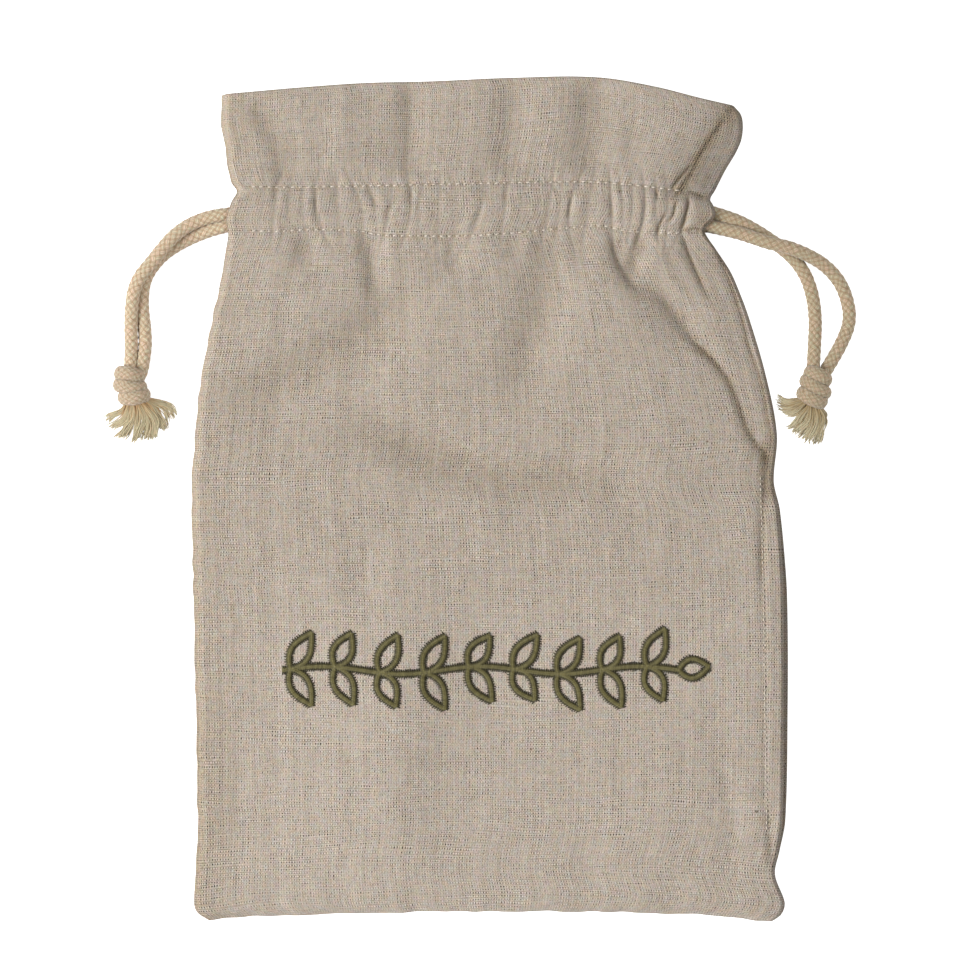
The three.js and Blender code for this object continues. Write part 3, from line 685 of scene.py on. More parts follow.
    def flap(self, x: Array, y: Array, dark: Array) -> Array:
        """Give the step down to the folded corner of the header, and paint shade along its crease and into
        its corner.

        Args:
            x: Places across the sack.
            y: Places along it.
            dark: The painted shade of each place, which the crease and the corner add to.

        Returns:
            The height for each place, 0 or less.
        """
        line = self.flap_fold
        height = np.zeros(x.shape)
        high = y > self.flap_from - self.flap_fade
        distance = line.beside(x[high], y[high])[0]
        drop = -self.flap_drop * np.clip(-distance / self.flap_width, 0.0, 1.3) ** self.flap_power
        fade = ease((y[high] - self.flap_from) / self.flap_fade + 1)
        section = np.where(distance > 0, line.right, line.left)
        height[high] = (drop + line.depth * bell(distance, section, line.sharp)) * fade
        deeper = 0.6 + 0.4 * ease((self.flap_dark_to - y[high]) / 14)
        crease = bell(distance, np.where(distance > 0, 1.6, 2.2), 1.3)
        dark[high] += self.flap_dark * deeper * crease * fade
        corner = ease((y[high] - self.flap_corner_from) / 8) * ease(-distance / 3 + 0.3)
        dark[high] += self.flap_corner_dark * corner
        return height

    def front(self, x: Array, y: Array, level: Array) -> tuple[Array, Array]:
        """Give the front panel's upper face.

        Args:
            x: Places across the sack.
            y: Places along it.
            level: The cloth's own levels there.

        Returns:
            The heights, and the painted shade of the cloth there, from 0 to 1, below 0 for painted light.
        """
        dark = np.zeros(x.shape)
        relief = self.neck(x, y, dark) + self.flap(x, y, dark)
        for fold in self.creases + self.folds:
            fold.add_to(x, y, relief, dark)
        for ripple, height in self.ripples:
            relief += height * ripple.at(x, y)
        for patch in self.patches:
            dark += patch.at(x, y)
        # Painted light, growing towards the bottom
        dark -= self.low_light * ease((self.low_light_from - level) / self.low_light_over)
        sewn_down = 2 * self.thickness(level) + self.gap
        drawn_in = ease((level - self.shoulder_from) / (self.shoulder_to - self.shoulder_from))
        slope = self.slope + (self.header_slope - self.slope) * drawn_in
        kept = np.maximum(0.0, self.loft_side.at(level))
        from_left = x - self.left_at(level)
        left = kept + (1 - kept) * self.rise(from_left, slope, self.rim_share, self.left_rim)
        right = kept + (1 - kept) * self.rise(
            self.right_at(level, Panel.FRONT) - x, slope, self.right_rim_share.at(level), self.right_rim,
            np.maximum(0.0, self.right_flange.at(level)))
        bottom = self.rise(level - self.bottom, self.slope, self.bottom_rim_share, self.left_rim)
        loft = self.loft_middle.at(level) + relief - sewn_down
        dark += self.edge_shade * bell(from_left, self.edge_shade_width)
        lower = 0.4 + 0.6 * ease((self.rim_shade_from - level) / self.rim_shade_over)
        dark += self.rim_shade * bell(from_left, self.rim_shade_width) * lower
        return sewn_down + np.maximum(0.0, loft) * (left * right * bottom), dark

    def rise(self, distance: Array, slope: float | Array, rim_share: float | Array,
             rim: float, flange: float | Array = 0.0) -> Array:
        """Give how far the cloth has come up beside an edge.

        Args:
            distance: Distance from the edge.
            slope: Width over which the cloth comes up.
            rim_share: Share of the height that it has at once, beside the edge.
            rim: Width over which it comes up to that share.
            flange: Width beside the edge that lies flat.

        Returns:
            0 at the edge and 1 in the middle.
        """
        near = 1 - np.power(1 - np.clip(distance / rim, 0.0, 1.0), self.rim_power)
        far = 1 - np.power(1 - np.clip((distance - flange) / slope, 0.0, 1.0), self.slope_power)
        return rim_share * near + (1 - rim_share) * far

    def taken_up(self, x: Array, level: float) -> Array:
        """Give the share of the gathered cloth that lies hidden left of each place.

        Args:
            x: Places across the sack.
            level: The cloth's own level of them all.

        Returns:
            0 at the left edge, 1 at the right one, with a step at each hollow.
        """
        share = (level - self.casing_low) / (self.casing_high - self.casing_low)
        places, depths = self.gathers(share)
        away = max(0.0, self.casing_low - level, level - self.casing_high)
        width = self.taken_width * (1 + away / self.taken_spread)
        return ease((x[:, None] - places[None, :]) / width + 0.5) @ (depths / depths.sum())

    def back(self, x: Array, level: Array) -> Array:
        """Give the height of the back panel's upper face.

        Args:
            x: Places across the sack.
            level: The cloth's own levels there.

        Returns:
            The height for each place.
        """
        lift = np.zeros(x.shape)
        for middle, height, width in self.back_waves:
            lift += height * bell(x - middle, width)
        rise = ease((level - self.casing_high) / (self.mouth - self.casing_high))
        return self.thickness(level) + lift * rise

    def on_front(self, x: Array, y: Array) -> Array:
        """Give the height of the front panel at any places on it."""
        return self.front(x, y, self.level_at(x, y))[0]


def ring_faces(rings: int, sides: int, closed: bool = False) -> list[Face]:
    """Join rings of points that follow one another.

    Args:
        rings: How many rings there are.
        sides: How many points each of them has.
        closed: Whether the last ring is joined to the first one.

    Returns:
        The faces between the rings.
    """
    faces: list[Face] = []
    for i in range(rings if closed else rings - 1):
        near = i * sides
        far = (i + 1) % rings * sides
        for j in range(sides):
            k = (j + 1) % sides
            faces.append((near + j, near + k, far + k, far + j))
    return faces


@dataclass
class Shell:
    """The points, faces and point values of a mesh that is being put together."""

    points: list[Array] = field(default_factory=list)
    faces: list[Face] = field(default_factory=list)
    values: dict[str, list[Array]] = field(default_factory=dict)
    count: int = 0

    def add(self, points: Array, faces: Iterable[Face], **values: Array) -> int:
        """Add points with the faces between them.

        Args:
            points: New points in millimetres, one row each.
            faces: Faces that count from the first new point.
            values: Values for each new point, by the name of their attribute.

        Returns:
            The number of the first new point.
        """
        first = self.count
        self.points.append(points)
        self.faces.extend(tuple(first + i for i in face) for face in faces)
        for name, given in values.items():
            self.values.setdefault(name, []).append(given)
        self.count += len(points)
        return first

    def tube(self, route: Array, radius: float | Array, sides: int, flat: float = 1.0,
             **values: Array) -> None:
        """Add a closed tube along a route.

        Args:
            route: The route's points.
            radius: The tube's radius, one or one for each point, or for each point and side.
            sides: How many points lie round it.
            flat: Its height as a share of its width.
            values: A value for each point of the route, repeated round the tube.
        """
        ahead = unit(np.gradient(route, axis=0))
        across = unit(np.cross(ahead, (0.0, 0.0, 1.0)))
        upward = np.cross(across, ahead)
        turn = 2 * np.pi * np.arange(sides) / sides - np.pi / 2
        reach = np.broadcast_to(np.asarray(radius, dtype=float).reshape(len(np.atleast_1d(radius)), -1),
                                (len(route), sides))
        ring = reach[..., None] * (across[:, None] * np.cos(turn)[None, :, None]
                                   + flat * upward[:, None] * np.sin(turn)[None, :, None])
        points = (route[:, None] + ring).reshape(-1, 3)
        faces = ring_faces(len(route), sides)
        faces.append(tuple(reversed(range(sides))))
        faces.append(tuple(range(len(points) - sides, len(points))))
        self.add(points, faces, **{name: np.repeat(given, sides, axis=0) for name, given in values.items()})

    def thread(self, route: Array, along: Array, number: float, radius: Array, sides: int,
               flat: float, deep: float | Array = 0.0) -> None:
        """Add one numbered thread of a piece of sewing, flattened, and say how deep in it the thread lies."""
        lay = np.stack([np.zeros(len(route)), along, np.full(len(route), number)], axis=1)
        self.tube(route, radius, sides, flat, lay=lay, deep=np.zeros(len(route)) + deep)

    def build(self, name: str, material: Material, smooth: bool = True) -> Piece:
        """Make the Blender object.

        Args:
            name: The object's name.
            material: Its material.
            smooth: Whether its faces are shaded smooth.

        Returns:
            The object, linked to the scene.
        """
        mesh = bpy.data.meshes.new(name)
        points = np.vstack(self.points) * MM
        mesh.from_pydata(points.tolist(), [], self.faces)
        for label, parts in self.values.items():
            given = np.concatenate(parts)
            kind, key = ("FLOAT", "value") if given.ndim == 1 else ("FLOAT_VECTOR", "vector")
            attribute = mesh.attributes.new(label, kind, "POINT")
            attribute.data.foreach_set(key, given.astype(np.float32).ravel())
        mesh.polygons.foreach_set("use_smooth", [smooth] * len(mesh.polygons))
        mesh.materials.append(material)
        mesh.update()
        built = bpy.data.objects.new(name, mesh)
        bpy.context.scene.collection.objects.link(built)
        return built


class Value:
    """A value or colour among a material's nodes, which adds and multiplies like a number."""

    def __init__(self, bench: NodeBench, socket: bpy.types.NodeSocket) -> None:
        """Keep the material it belongs to and the socket it comes from."""
        self.bench = bench
        self.socket = socket

    def by(self, operation: str, *others: Number) -> Value:
        """Give the result of a Math node on this value and others."""
        return self.bench.math(operation, self, *others)

    def __add__(self, other: Number) -> Value:
        """Add another value."""
        return self.by("ADD", other)

    def __sub__(self, other: Number) -> Value:
        """Take another value away."""
        return self.by("SUBTRACT", other)

    def __mul__(self, other: Number) -> Value:
        """Multiply by another value."""
        return self.by("MULTIPLY", other)

    def wave(self) -> Value:
        """Give 1 at each whole number and -1 midway between them."""
        return (self * (2 * math.pi)).by("COSINE")

    def spread(self, low: float, high: float, to_low: float = 0.0, to_high: float = 1.0) -> Value:
        """Map a range softly to another one and hold its ends.

        Args:
            low: Start of the range.
            high: Its end.
            to_low: What its start becomes.
            to_high: What its end becomes.

        Returns:
            The mapped value.
        """
        inputs = {"Value": self, "From Min": low, "From Max": high, "To Min": to_low, "To Max": to_high}
        settings = {"interpolation_type": "SMOOTHSTEP", "clamp": True}
        return self.bench.value(self.bench.node("ShaderNodeMapRange", inputs, **settings))


Number = float | Value
Input = float | Colour | Spot | Value


class NodeBench:
    """A material that is being put together from nodes."""

    def __init__(self, name: str) -> None:
        """Start a material with one Principled shader.

        Args:
            name: The material's name.
        """
        self.material = bpy.data.materials.new(name)
        self.material.use_nodes = True
        self.tree = self.material.node_tree
        self.shader = self.tree.nodes["Principled BSDF"]

    def node(self, kind: str, inputs: dict[str | int, Input] | None = None,
             **settings: object) -> bpy.types.Node:
        """Add a node.

        Args:
            kind: The node's type in Blender.
            inputs: Its inputs, by name or number.
            settings: Its own settings.

        Returns:
            The node.
        """
        made = self.tree.nodes.new(kind)
        for key, value in settings.items():
            setattr(made, key, value)
        for key, value in (inputs or {}).items():
            if isinstance(value, Value):
                self.tree.links.new(value.socket, made.inputs[key])
            else:
                made.inputs[key].default_value = value
        return made

    def value(self, node: bpy.types.Node, output: str | int = 0) -> Value:
        """Take one output of a node."""
        return Value(self, node.outputs[output])

    def math(self, operation: str, *values: Number) -> Value:
        """Give the result of a Math node."""
        return self.value(self.node("ShaderNodeMath", dict(enumerate(values)), operation=operation))

    def attribute(self, name: str, output: str = "Fac") -> Value:
        """Read a point attribute of the mesh."""
        made = self.node("ShaderNodeAttribute", attribute_name=name, attribute_type="GEOMETRY")
        return self.value(made, output)

    def parts(self, vector: Value) -> list[Value]:
        """Take a vector's three values apart."""
        apart = self.node("ShaderNodeSeparateXYZ", {0: vector})
        return [self.value(apart, i) for i in range(3)]

    def place(self, x: Number, y: Number, z: Number = 0.0) -> Value:
        """Join three values to one vector."""
        return self.value(self.node("ShaderNodeCombineXYZ", {0: x, 1: y, 2: z}))

    def noise(self, x: Number, y: Number, z: Number = 0.0, detail: float = 2.0,
              roughness: float = 0.55) -> Value:
        """Give smooth noise from about 0 to 1, its waves about 1 long and its finer waves this rough."""
        inputs = {"Vector": self.place(x, y, z), "Scale": 1.0, "Detail": detail, "Roughness": roughness}
        return self.value(self.node("ShaderNodeTexNoise", inputs), "Fac")

    def random(self, x: Number, y: Number, z: Number = 0.0) -> Value:
        """Give one random value from 0 to 1 for each place."""
        return self.value(self.node("ShaderNodeTexWhiteNoise", {"Vector": self.place(x, y, z)}), "Value")

    def blend(self, share: Number, first: Input, second: Input) -> Value:
        """Mix two colours."""
        return self.value(self.node("ShaderNodeMix", {0: share, 6: first, 7: second}, data_type="RGBA"), 2)

    def lit(self, colour: Value, factor: Value) -> Value:
        """Make a colour lighter or darker by a factor."""
        return self.value(self.node("ShaderNodeVectorMath", {0: colour, "Scale": factor}, operation="SCALE"))

    def tinted(self, colour: Value, tint: Input) -> Value:
        """Multiply a colour by a tint."""
        return self.value(self.node("ShaderNodeVectorMath", {0: colour, 1: tint}, operation="MULTIPLY"))

    def finish(self, colour: Value, settings: dict[str, Input], height: Value | None = None,
               depth: float = 0.0002, strength: float = 0.5) -> Material:
        """Join the colour and the relief to the shader.

        Args:
            colour: The colour.
            settings: The shader's own settings, by name.
            height: The relief, from 0 to 1.
            depth: Depth of the relief in metres.
            strength: Strength of the relief.

        Returns:
            The finished material.
        """
        self.tree.links.new(colour.socket, self.shader.inputs["Base Color"])
        for name, value in settings.items():
            self.shader.inputs[name].default_value = value
        if height is not None:
            bump = self.node("ShaderNodeBump", {"Height": height, "Distance": depth, "Strength": strength})
            self.tree.links.new(bump.outputs[0], self.shader.inputs["Normal"])
        return self.material


def linear(red: int, green: int, blue: int) -> Colour:
    """Turn a colour given as on a screen, from 0 to 255, into a shader's colour.

    Args:
        red: Its red.
        green: Its green.
        blue: Its blue.

    Returns:
        The shader's colour, opaque.
    """
    shares = [value / 255 for value in (red, green, blue)]
    turned = [s / 12.92 if s <= 0.04045 else ((s + 0.055) / 1.055) ** 2.4 for s in shares]
    return (turned[0], turned[1], turned[2], 1.0)


@dataclass(frozen=True)
class LinenFinish:
    """Plain weave of undyed linen and cotton, with gaps between its threads and slubs.

    The weave follows the cloth through its folds: the attribute "cloth" holds how far across
    and along the cut cloth a point lies, in millimetres, and "dark" the painted shade there,
    in creases, hollows, needle holes and along the edges, and below 0 painted light. The
    painted shade takes a warmer tint. The last fields say how much of the light each
    unevenness takes or gives.
    """

    name: str = "undyed_linen"
    colour: Colour = linear(187, 175, 161)
    pink: Colour = linear(197, 170, 159)
    green: Colour = linear(179, 180, 164)
    straw: Colour = linear(193, 178, 151)
    grey: Colour = linear(182, 172, 173)
    dark_tint: Colour = (1.02, 0.99, 0.93, 1.0)
    light_tint: Colour = (0.985, 1.01, 1.03, 1.0)
    fold_tint: Spot = (1.0, 0.95, 0.84)
    husk: Colour = linear(96, 74, 52)
    warp_pitch: float = 1.28
    weft_pitch: float = 1.73
    pick_pitch: float = 1.03
    roughness: float = 0.92
    sheen: float = 0.12
    bump_depth: float = 0.00022
    gap_dark: float = 1.05
    crease_dark: float = 0.6
    darkest: float = 0.05
    mottled: float = 1.3
    streaked: float = 0.46
    clouded: float = 0.1
    dashed: float = 0.46
    picked: float = 0.24

    def make(self) -> Material:
        """Build the material.

        Returns:
            The material.
        """
        bench = NodeBench(self.name)
        across, along, _ = bench.parts(bench.attribute("cloth", "Vector"))
        # Painted shade of the creases, hollows, holes and edges, painted light below 0
        dark = bench.attribute("dark")
        warp = self.thread_places(bench, across, along, self.warp_pitch, 0.03, 0.008, 1.1, 0.8)
        weft = self.thread_places(bench, along, across, self.weft_pitch, 0.05, 0.014, 2.6, 1.1)
        warp_number = (warp + 0.5).by("FLOOR")
        weft_number = (weft + 0.5).by("FLOOR")
        runs = bench.noise(across * 0.16, weft_number * 3.7)
        dashes = bench.noise(warp_number * 5.3, along * 0.11, 7.0)
        patch = bench.noise(across * 0.07, along * 0.05, 2.0, 3.0)
        single = bench.random(warp_number, weft_number, 3.0).spread(0.05, 0.85, 0.3, 1.35)
        gap = self.gap_at(warp, 1.2) * self.gap_at(weft, 1.7)
        strong = (runs.spread(0.42, 0.66) * 0.4 + 0.2 + dashes.spread(0.46, 0.66) * 0.5
                  + patch.spread(0.38, 0.62) * 0.3)
        columns = warp.wave()
        rows = weft.wave()
        pick = weft * (self.weft_pitch / self.pick_pitch)
        pick_dash = bench.noise(across * 0.7, (pick + 0.5).by("FLOOR") * 7.3, 1.0)
        warp_dash = bench.noise(warp_number * 5.1, along * 0.42, 2.0)
        pattern = (
            columns * dashes.spread(0.36, 0.64, -0.05, -0.18)
            + rows * 0.07
            + columns * rows * -0.19
            + pick.wave() * runs.spread(0.36, 0.64, 0.06, 0.24)
            + (pick_dash - 0.5) * self.picked
            + (warp_dash - 0.5) * self.dashed
        )
        mottle = bench.noise(across * 1.6, along * 1.35, 4.0, 3.0)
        streaks = bench.noise(across * 0.2, along * 0.062, 9.0, 4.0, 0.9)
        cloud = bench.noise(across * 0.022, along * 0.018, 8.0)
        # light holds the weave's unevenness and, through crease_dark, the painted shade
        light = (
            self.thread_shades(bench, warp, weft, across, along) + 1.0
            + (mottle - 0.5) * self.mottled
            + (streaks - 0.5) * self.streaked
            + pattern * patch.spread(0.36, 0.64, 0.55, 1.2)
            + (cloud - 0.5) * self.clouded
            + gap * strong * single * -self.gap_dark
            + dark * -self.crease_dark
        )
        rosy = bench.noise(across * 0.34, along * 0.26, 12.0, 3.0, 0.75).spread(0.34, 0.66)
        dull = bench.noise(across * 0.3, along * 0.22, 31.0, 3.0, 0.75).spread(0.34, 0.66)
        hues = bench.blend(0.5, bench.blend(rosy, self.pink, self.green),
                           bench.blend(dull, self.straw, self.grey))
        colour = bench.lit(bench.blend(0.95, self.colour, hues), light.by("MAXIMUM", self.darkest))
        # Darker places, painted shade among them, turn warmer and lighter ones cooler
        tint = bench.blend(light.spread(0.6, 1.45), self.dark_tint, self.light_tint)
        colour = bench.blend(self.specks(bench, across, along), bench.tinted(colour, tint), self.husk)
        # Painted shade is warmed further by fold_tint
        warm = dark.spread(-1.0, 1.0, -1.0, 1.0)
        colour = bench.blend(warm, colour, bench.tinted(colour, self.fold_tint))
        settings = {"Roughness": self.roughness, "Sheen Weight": self.sheen, "Sheen Roughness": 0.5,
                    "Specular IOR Level": 0.15}
        return bench.finish(colour, settings, self.relief(warp, weft, gap, mottle), self.bump_depth, 0.55)

    def thread_places(self, bench: NodeBench, over: Value, beside: Value, pitch: float, fine: float,
                      coarse: float, wander: float, uneven: float) -> Value:
        """Number the threads in one direction, with an uneven spacing.

        Args:
            bench: The material's nodes.
            over: Distance across the threads.
            beside: Distance along them.
            pitch: Distance from thread to thread.
            fine: How fast the spacing changes across the threads.
            coarse: How fast a thread wanders along itself.
            wander: How far it wanders.
            uneven: How much the spacing differs from thread to thread.

        Returns:
            The thread's number, whole between two threads.
        """
        drift = bench.noise(over * fine, beside * coarse, pitch, 1.0)
        apart = bench.noise(over * 0.45, beside * 0.035, pitch + 5, 1.0)
        return (over + (drift - 0.5) * (wander * 2) + (apart - 0.5) * uneven).by("DIVIDE", pitch)

    def gap_at(self, number: Value, sharp: float) -> Value:
        """Give 1 midway between two threads and 0 on them."""
        return number.wave().by("MAXIMUM", 0.0).by("POWER", sharp)

    def thread_shades(self, bench: NodeBench, warp: Value, weft: Value, across: Value, along: Value) -> Value:
        """Give each thread its own shade, with pale slubs and darker stretches.

        Args:
            bench: The material's nodes.
            warp: Number of the thread along the cloth.
            weft: Number of the thread across it.
            across: Distance across the cloth.
            along: Distance along it.

        Returns:
            How much lighter the threads are.
        """
        warp_own = warp.by("FLOOR")
        weft_own = weft.by("FLOOR")
        warp_shade = bench.random(warp_own, 11.0, 1.0)
        weft_shade = bench.random(5.0, weft_own, 2.0)
        slub = bench.noise(across * 0.055, weft_own * 2.9, 3.0, 1.0)
        streak = bench.noise(warp_own * 2.3, along * 0.02, 6.0, 1.0)
        return ((warp_shade - 0.5) * 0.1 + (weft_shade - 0.5) * 0.03
                + slub.spread(0.62, 0.74, 0.0, 0.07) + streak.spread(0.60, 0.76, 0.0, -0.06))

    def specks(self, bench: NodeBench, across: Value, along: Value) -> Value:
        """Give a few small brown bits of husk in the cloth.

        Args:
            bench: The material's nodes.
            across: Distance across the cloth.
            along: Distance along it.

        Returns:
            How brown each place is.
        """
        where = bench.place(across * 0.034, along * 0.034, 5.0)
        cells = bench.node("ShaderNodeTexVoronoi", {"Vector": where, "Scale": 1.0, "Randomness": 1.0},
                           voronoi_dimensions="2D")
        wanted = bench.value(cells, "Color").spread(0.80, 0.82)
        return bench.value(cells, "Distance").spread(0.012, 0.022, 0.75, 0.0) * wanted

    def relief(self, warp: Value, weft: Value, gap: Value, mottle: Value) -> Value:
        """Give the weave's relief: each thread rounded, passing over and under the others.

        Args:
            warp: Number of the thread along the cloth.
            weft: Number of the thread across it.
            gap: 1 in the gaps between the threads.
            mottle: The cloth's fine unevenness.

        Returns:
            The height.
        """
        warp_round = (warp * math.pi).by("SINE").by("ABSOLUTE")
        weft_round = (weft * math.pi).by("SINE").by("ABSOLUTE")
        over = (warp.by("FLOOR") + weft.by("FLOOR")).by("ABSOLUTE").by("MODULO", 2.0)
        top = over * warp_round + (over * -1.0 + 1.0) * weft_round
        return top * 0.4 + gap * -0.5 + mottle * 1.1


@dataclass(frozen=True)
class CottonFinish:
    """Soft undyed cotton yarn, with painted shade between its strands and fine fibres along them.

    The attribute "lay" holds how far round and along the cord a point lies in millimetres and
    the number of its strand, and "deep" how deep between its strands it lies, which sets how
    much painted shade, in deep_colour, it takes. bright scales the whole colour: above 1 it
    paints light, below 1 shade.
    """

    name: str = "cotton_cord"
    colour: Colour = linear(176, 159, 136)
    deep_colour: Colour = linear(134, 104, 64)
    pale: Colour = linear(181, 175, 155)
    pink: Colour = linear(190, 154, 130)
    green: Colour = linear(167, 162, 129)
    deep_share: float = 0.62
    deep_from: float = 0.1
    deep_to: float = 0.85
    bright: float = 1.0
    fibre: float = 0.42
    clouded: float = 0.1
    hue_by_strand: float = 0.36
    softness: float = 0.4
    soft_reach: float = 0.003
    yarn: float = 1.3
    yarn_dark: float = 0.16
    roughness: float = 0.9
    bump_depth: float = 0.0003

    def make(self) -> Material:
        """Build the material.

        Returns:
            The material.
        """
        bench = NodeBench(self.name)
        around, along, strand = bench.parts(bench.attribute("lay", "Vector"))
        fibres = bench.noise(around * 2.4, along * 0.9, 0.0, 3.0, 0.7)
        clouds = bench.noise(around * 0.7, along * 0.45, 4.0, 3.0)
        drift = bench.noise(around * 0.9, along * 0.7, 9.0)
        own = bench.random((strand + 0.5).by("FLOOR"), 5.0)
        hue = (drift + (own - 0.5) * self.hue_by_strand).spread(0.3, 0.7)
        base = bench.blend(clouds.spread(0.3, 0.7), self.colour, self.pale)
        base = bench.blend(0.5, base, bench.blend(hue, self.pink, self.green))
        sunk = bench.attribute("deep").spread(self.deep_from, self.deep_to, 0.0, self.deep_share)
        base = bench.blend(sunk, base, self.deep_colour)
        yarns = (around * (2 * math.pi / self.yarn)).by("COSINE")
        light = ((fibres - 0.5) * self.fibre + 1.0 + (clouds - 0.5) * self.clouded
                 + yarns * self.yarn_dark)
        settings = {"Roughness": self.roughness, "Subsurface Weight": self.softness,
                    "Subsurface Radius": (1.0, 0.8, 0.6), "Subsurface Scale": self.soft_reach,
                    "Sheen Weight": 0.3, "Sheen Roughness": 0.5, "Specular IOR Level": 0.15}
        return bench.finish(bench.lit(base, light * self.bright), settings, fibres, self.bump_depth, 0.7)


@dataclass(frozen=True)
class ThreadFinish:
    """Twisted or satin thread: fine plies across, and a soft gloss.

    The attribute "lay" holds how far round and along the thread a point lies in millimetres and
    the thread's number, and "deep" how deep in the sewing it lies, which darkens it as painted
    shade.
    """

    name: str
    colour: Colour
    other: Colour
    roughness: float
    sheen: float = 0.1
    gloss: float = 0.3
    ply_light: float = 0.07
    deep_dark: float = 0.85
    bump_depth: float = 0.00008

    def make(self) -> Material:
        """Build the material.

        Returns:
            The material.
        """
        bench = NodeBench(self.name)
        around, along, number = bench.parts(bench.attribute("lay", "Vector"))
        plies = (along * 7.0 + around).by("SINE")
        own = bench.random(number, 3.0)
        cloud = bench.noise(along * 0.7, number)
        shade = bench.blend((own * 0.7 + cloud * 0.4).spread(0.2, 0.9), self.colour, self.other)
        light = plies * self.ply_light + 1.0 + bench.attribute("deep") * -self.deep_dark
        settings = {"Roughness": self.roughness, "Sheen Weight": self.sheen, "Specular IOR Level": self.gloss}
        return bench.finish(bench.lit(shade, light), settings, plies, self.bump_depth, 0.4)


@dataclass(frozen=True)
class TableFinish:
    """The plain white table of a photo studio."""

    name: str = "white_table"
    glow: float = 1.0
    grey: Colour = (0.88, 0.88, 0.88, 1.0)
    pale: Colour = (0.9, 0.9, 0.9, 1.0)
    grains: float = 40.0

    def make(self) -> Material:
        """Build the material.

        Returns:
            The material.
        """
        bench = NodeBench(self.name)
        places = bench.parts(bench.value(bench.node("ShaderNodeTexCoord"), "Object"))
        grain = bench.noise(*(place * self.grains for place in places))
        settings = {"Roughness": 0.85, "Specular IOR Level": 0.1, "Emission Color": (1.0, 1.0, 1.0, 1.0),
                    "Emission Strength": self.glow}
        return bench.finish(bench.blend(grain.spread(0.2, 0.8), self.grey, self.pale), settings)


@dataclass(frozen=True)
class RowZone:
    """A stretch of a sheet whose rows and columns have one spacing."""

    start: float
    end: float
    rows: int
    columns: int


@dataclass
class SheetFace:
    """One face of a sheet, row by row: points, their painted shade, levels, and the points' numbers."""

    rows: list[Array]
    dark: list[Array]
    levels: list[float]
    numbers: list[list[int]] = field(default_factory=list)


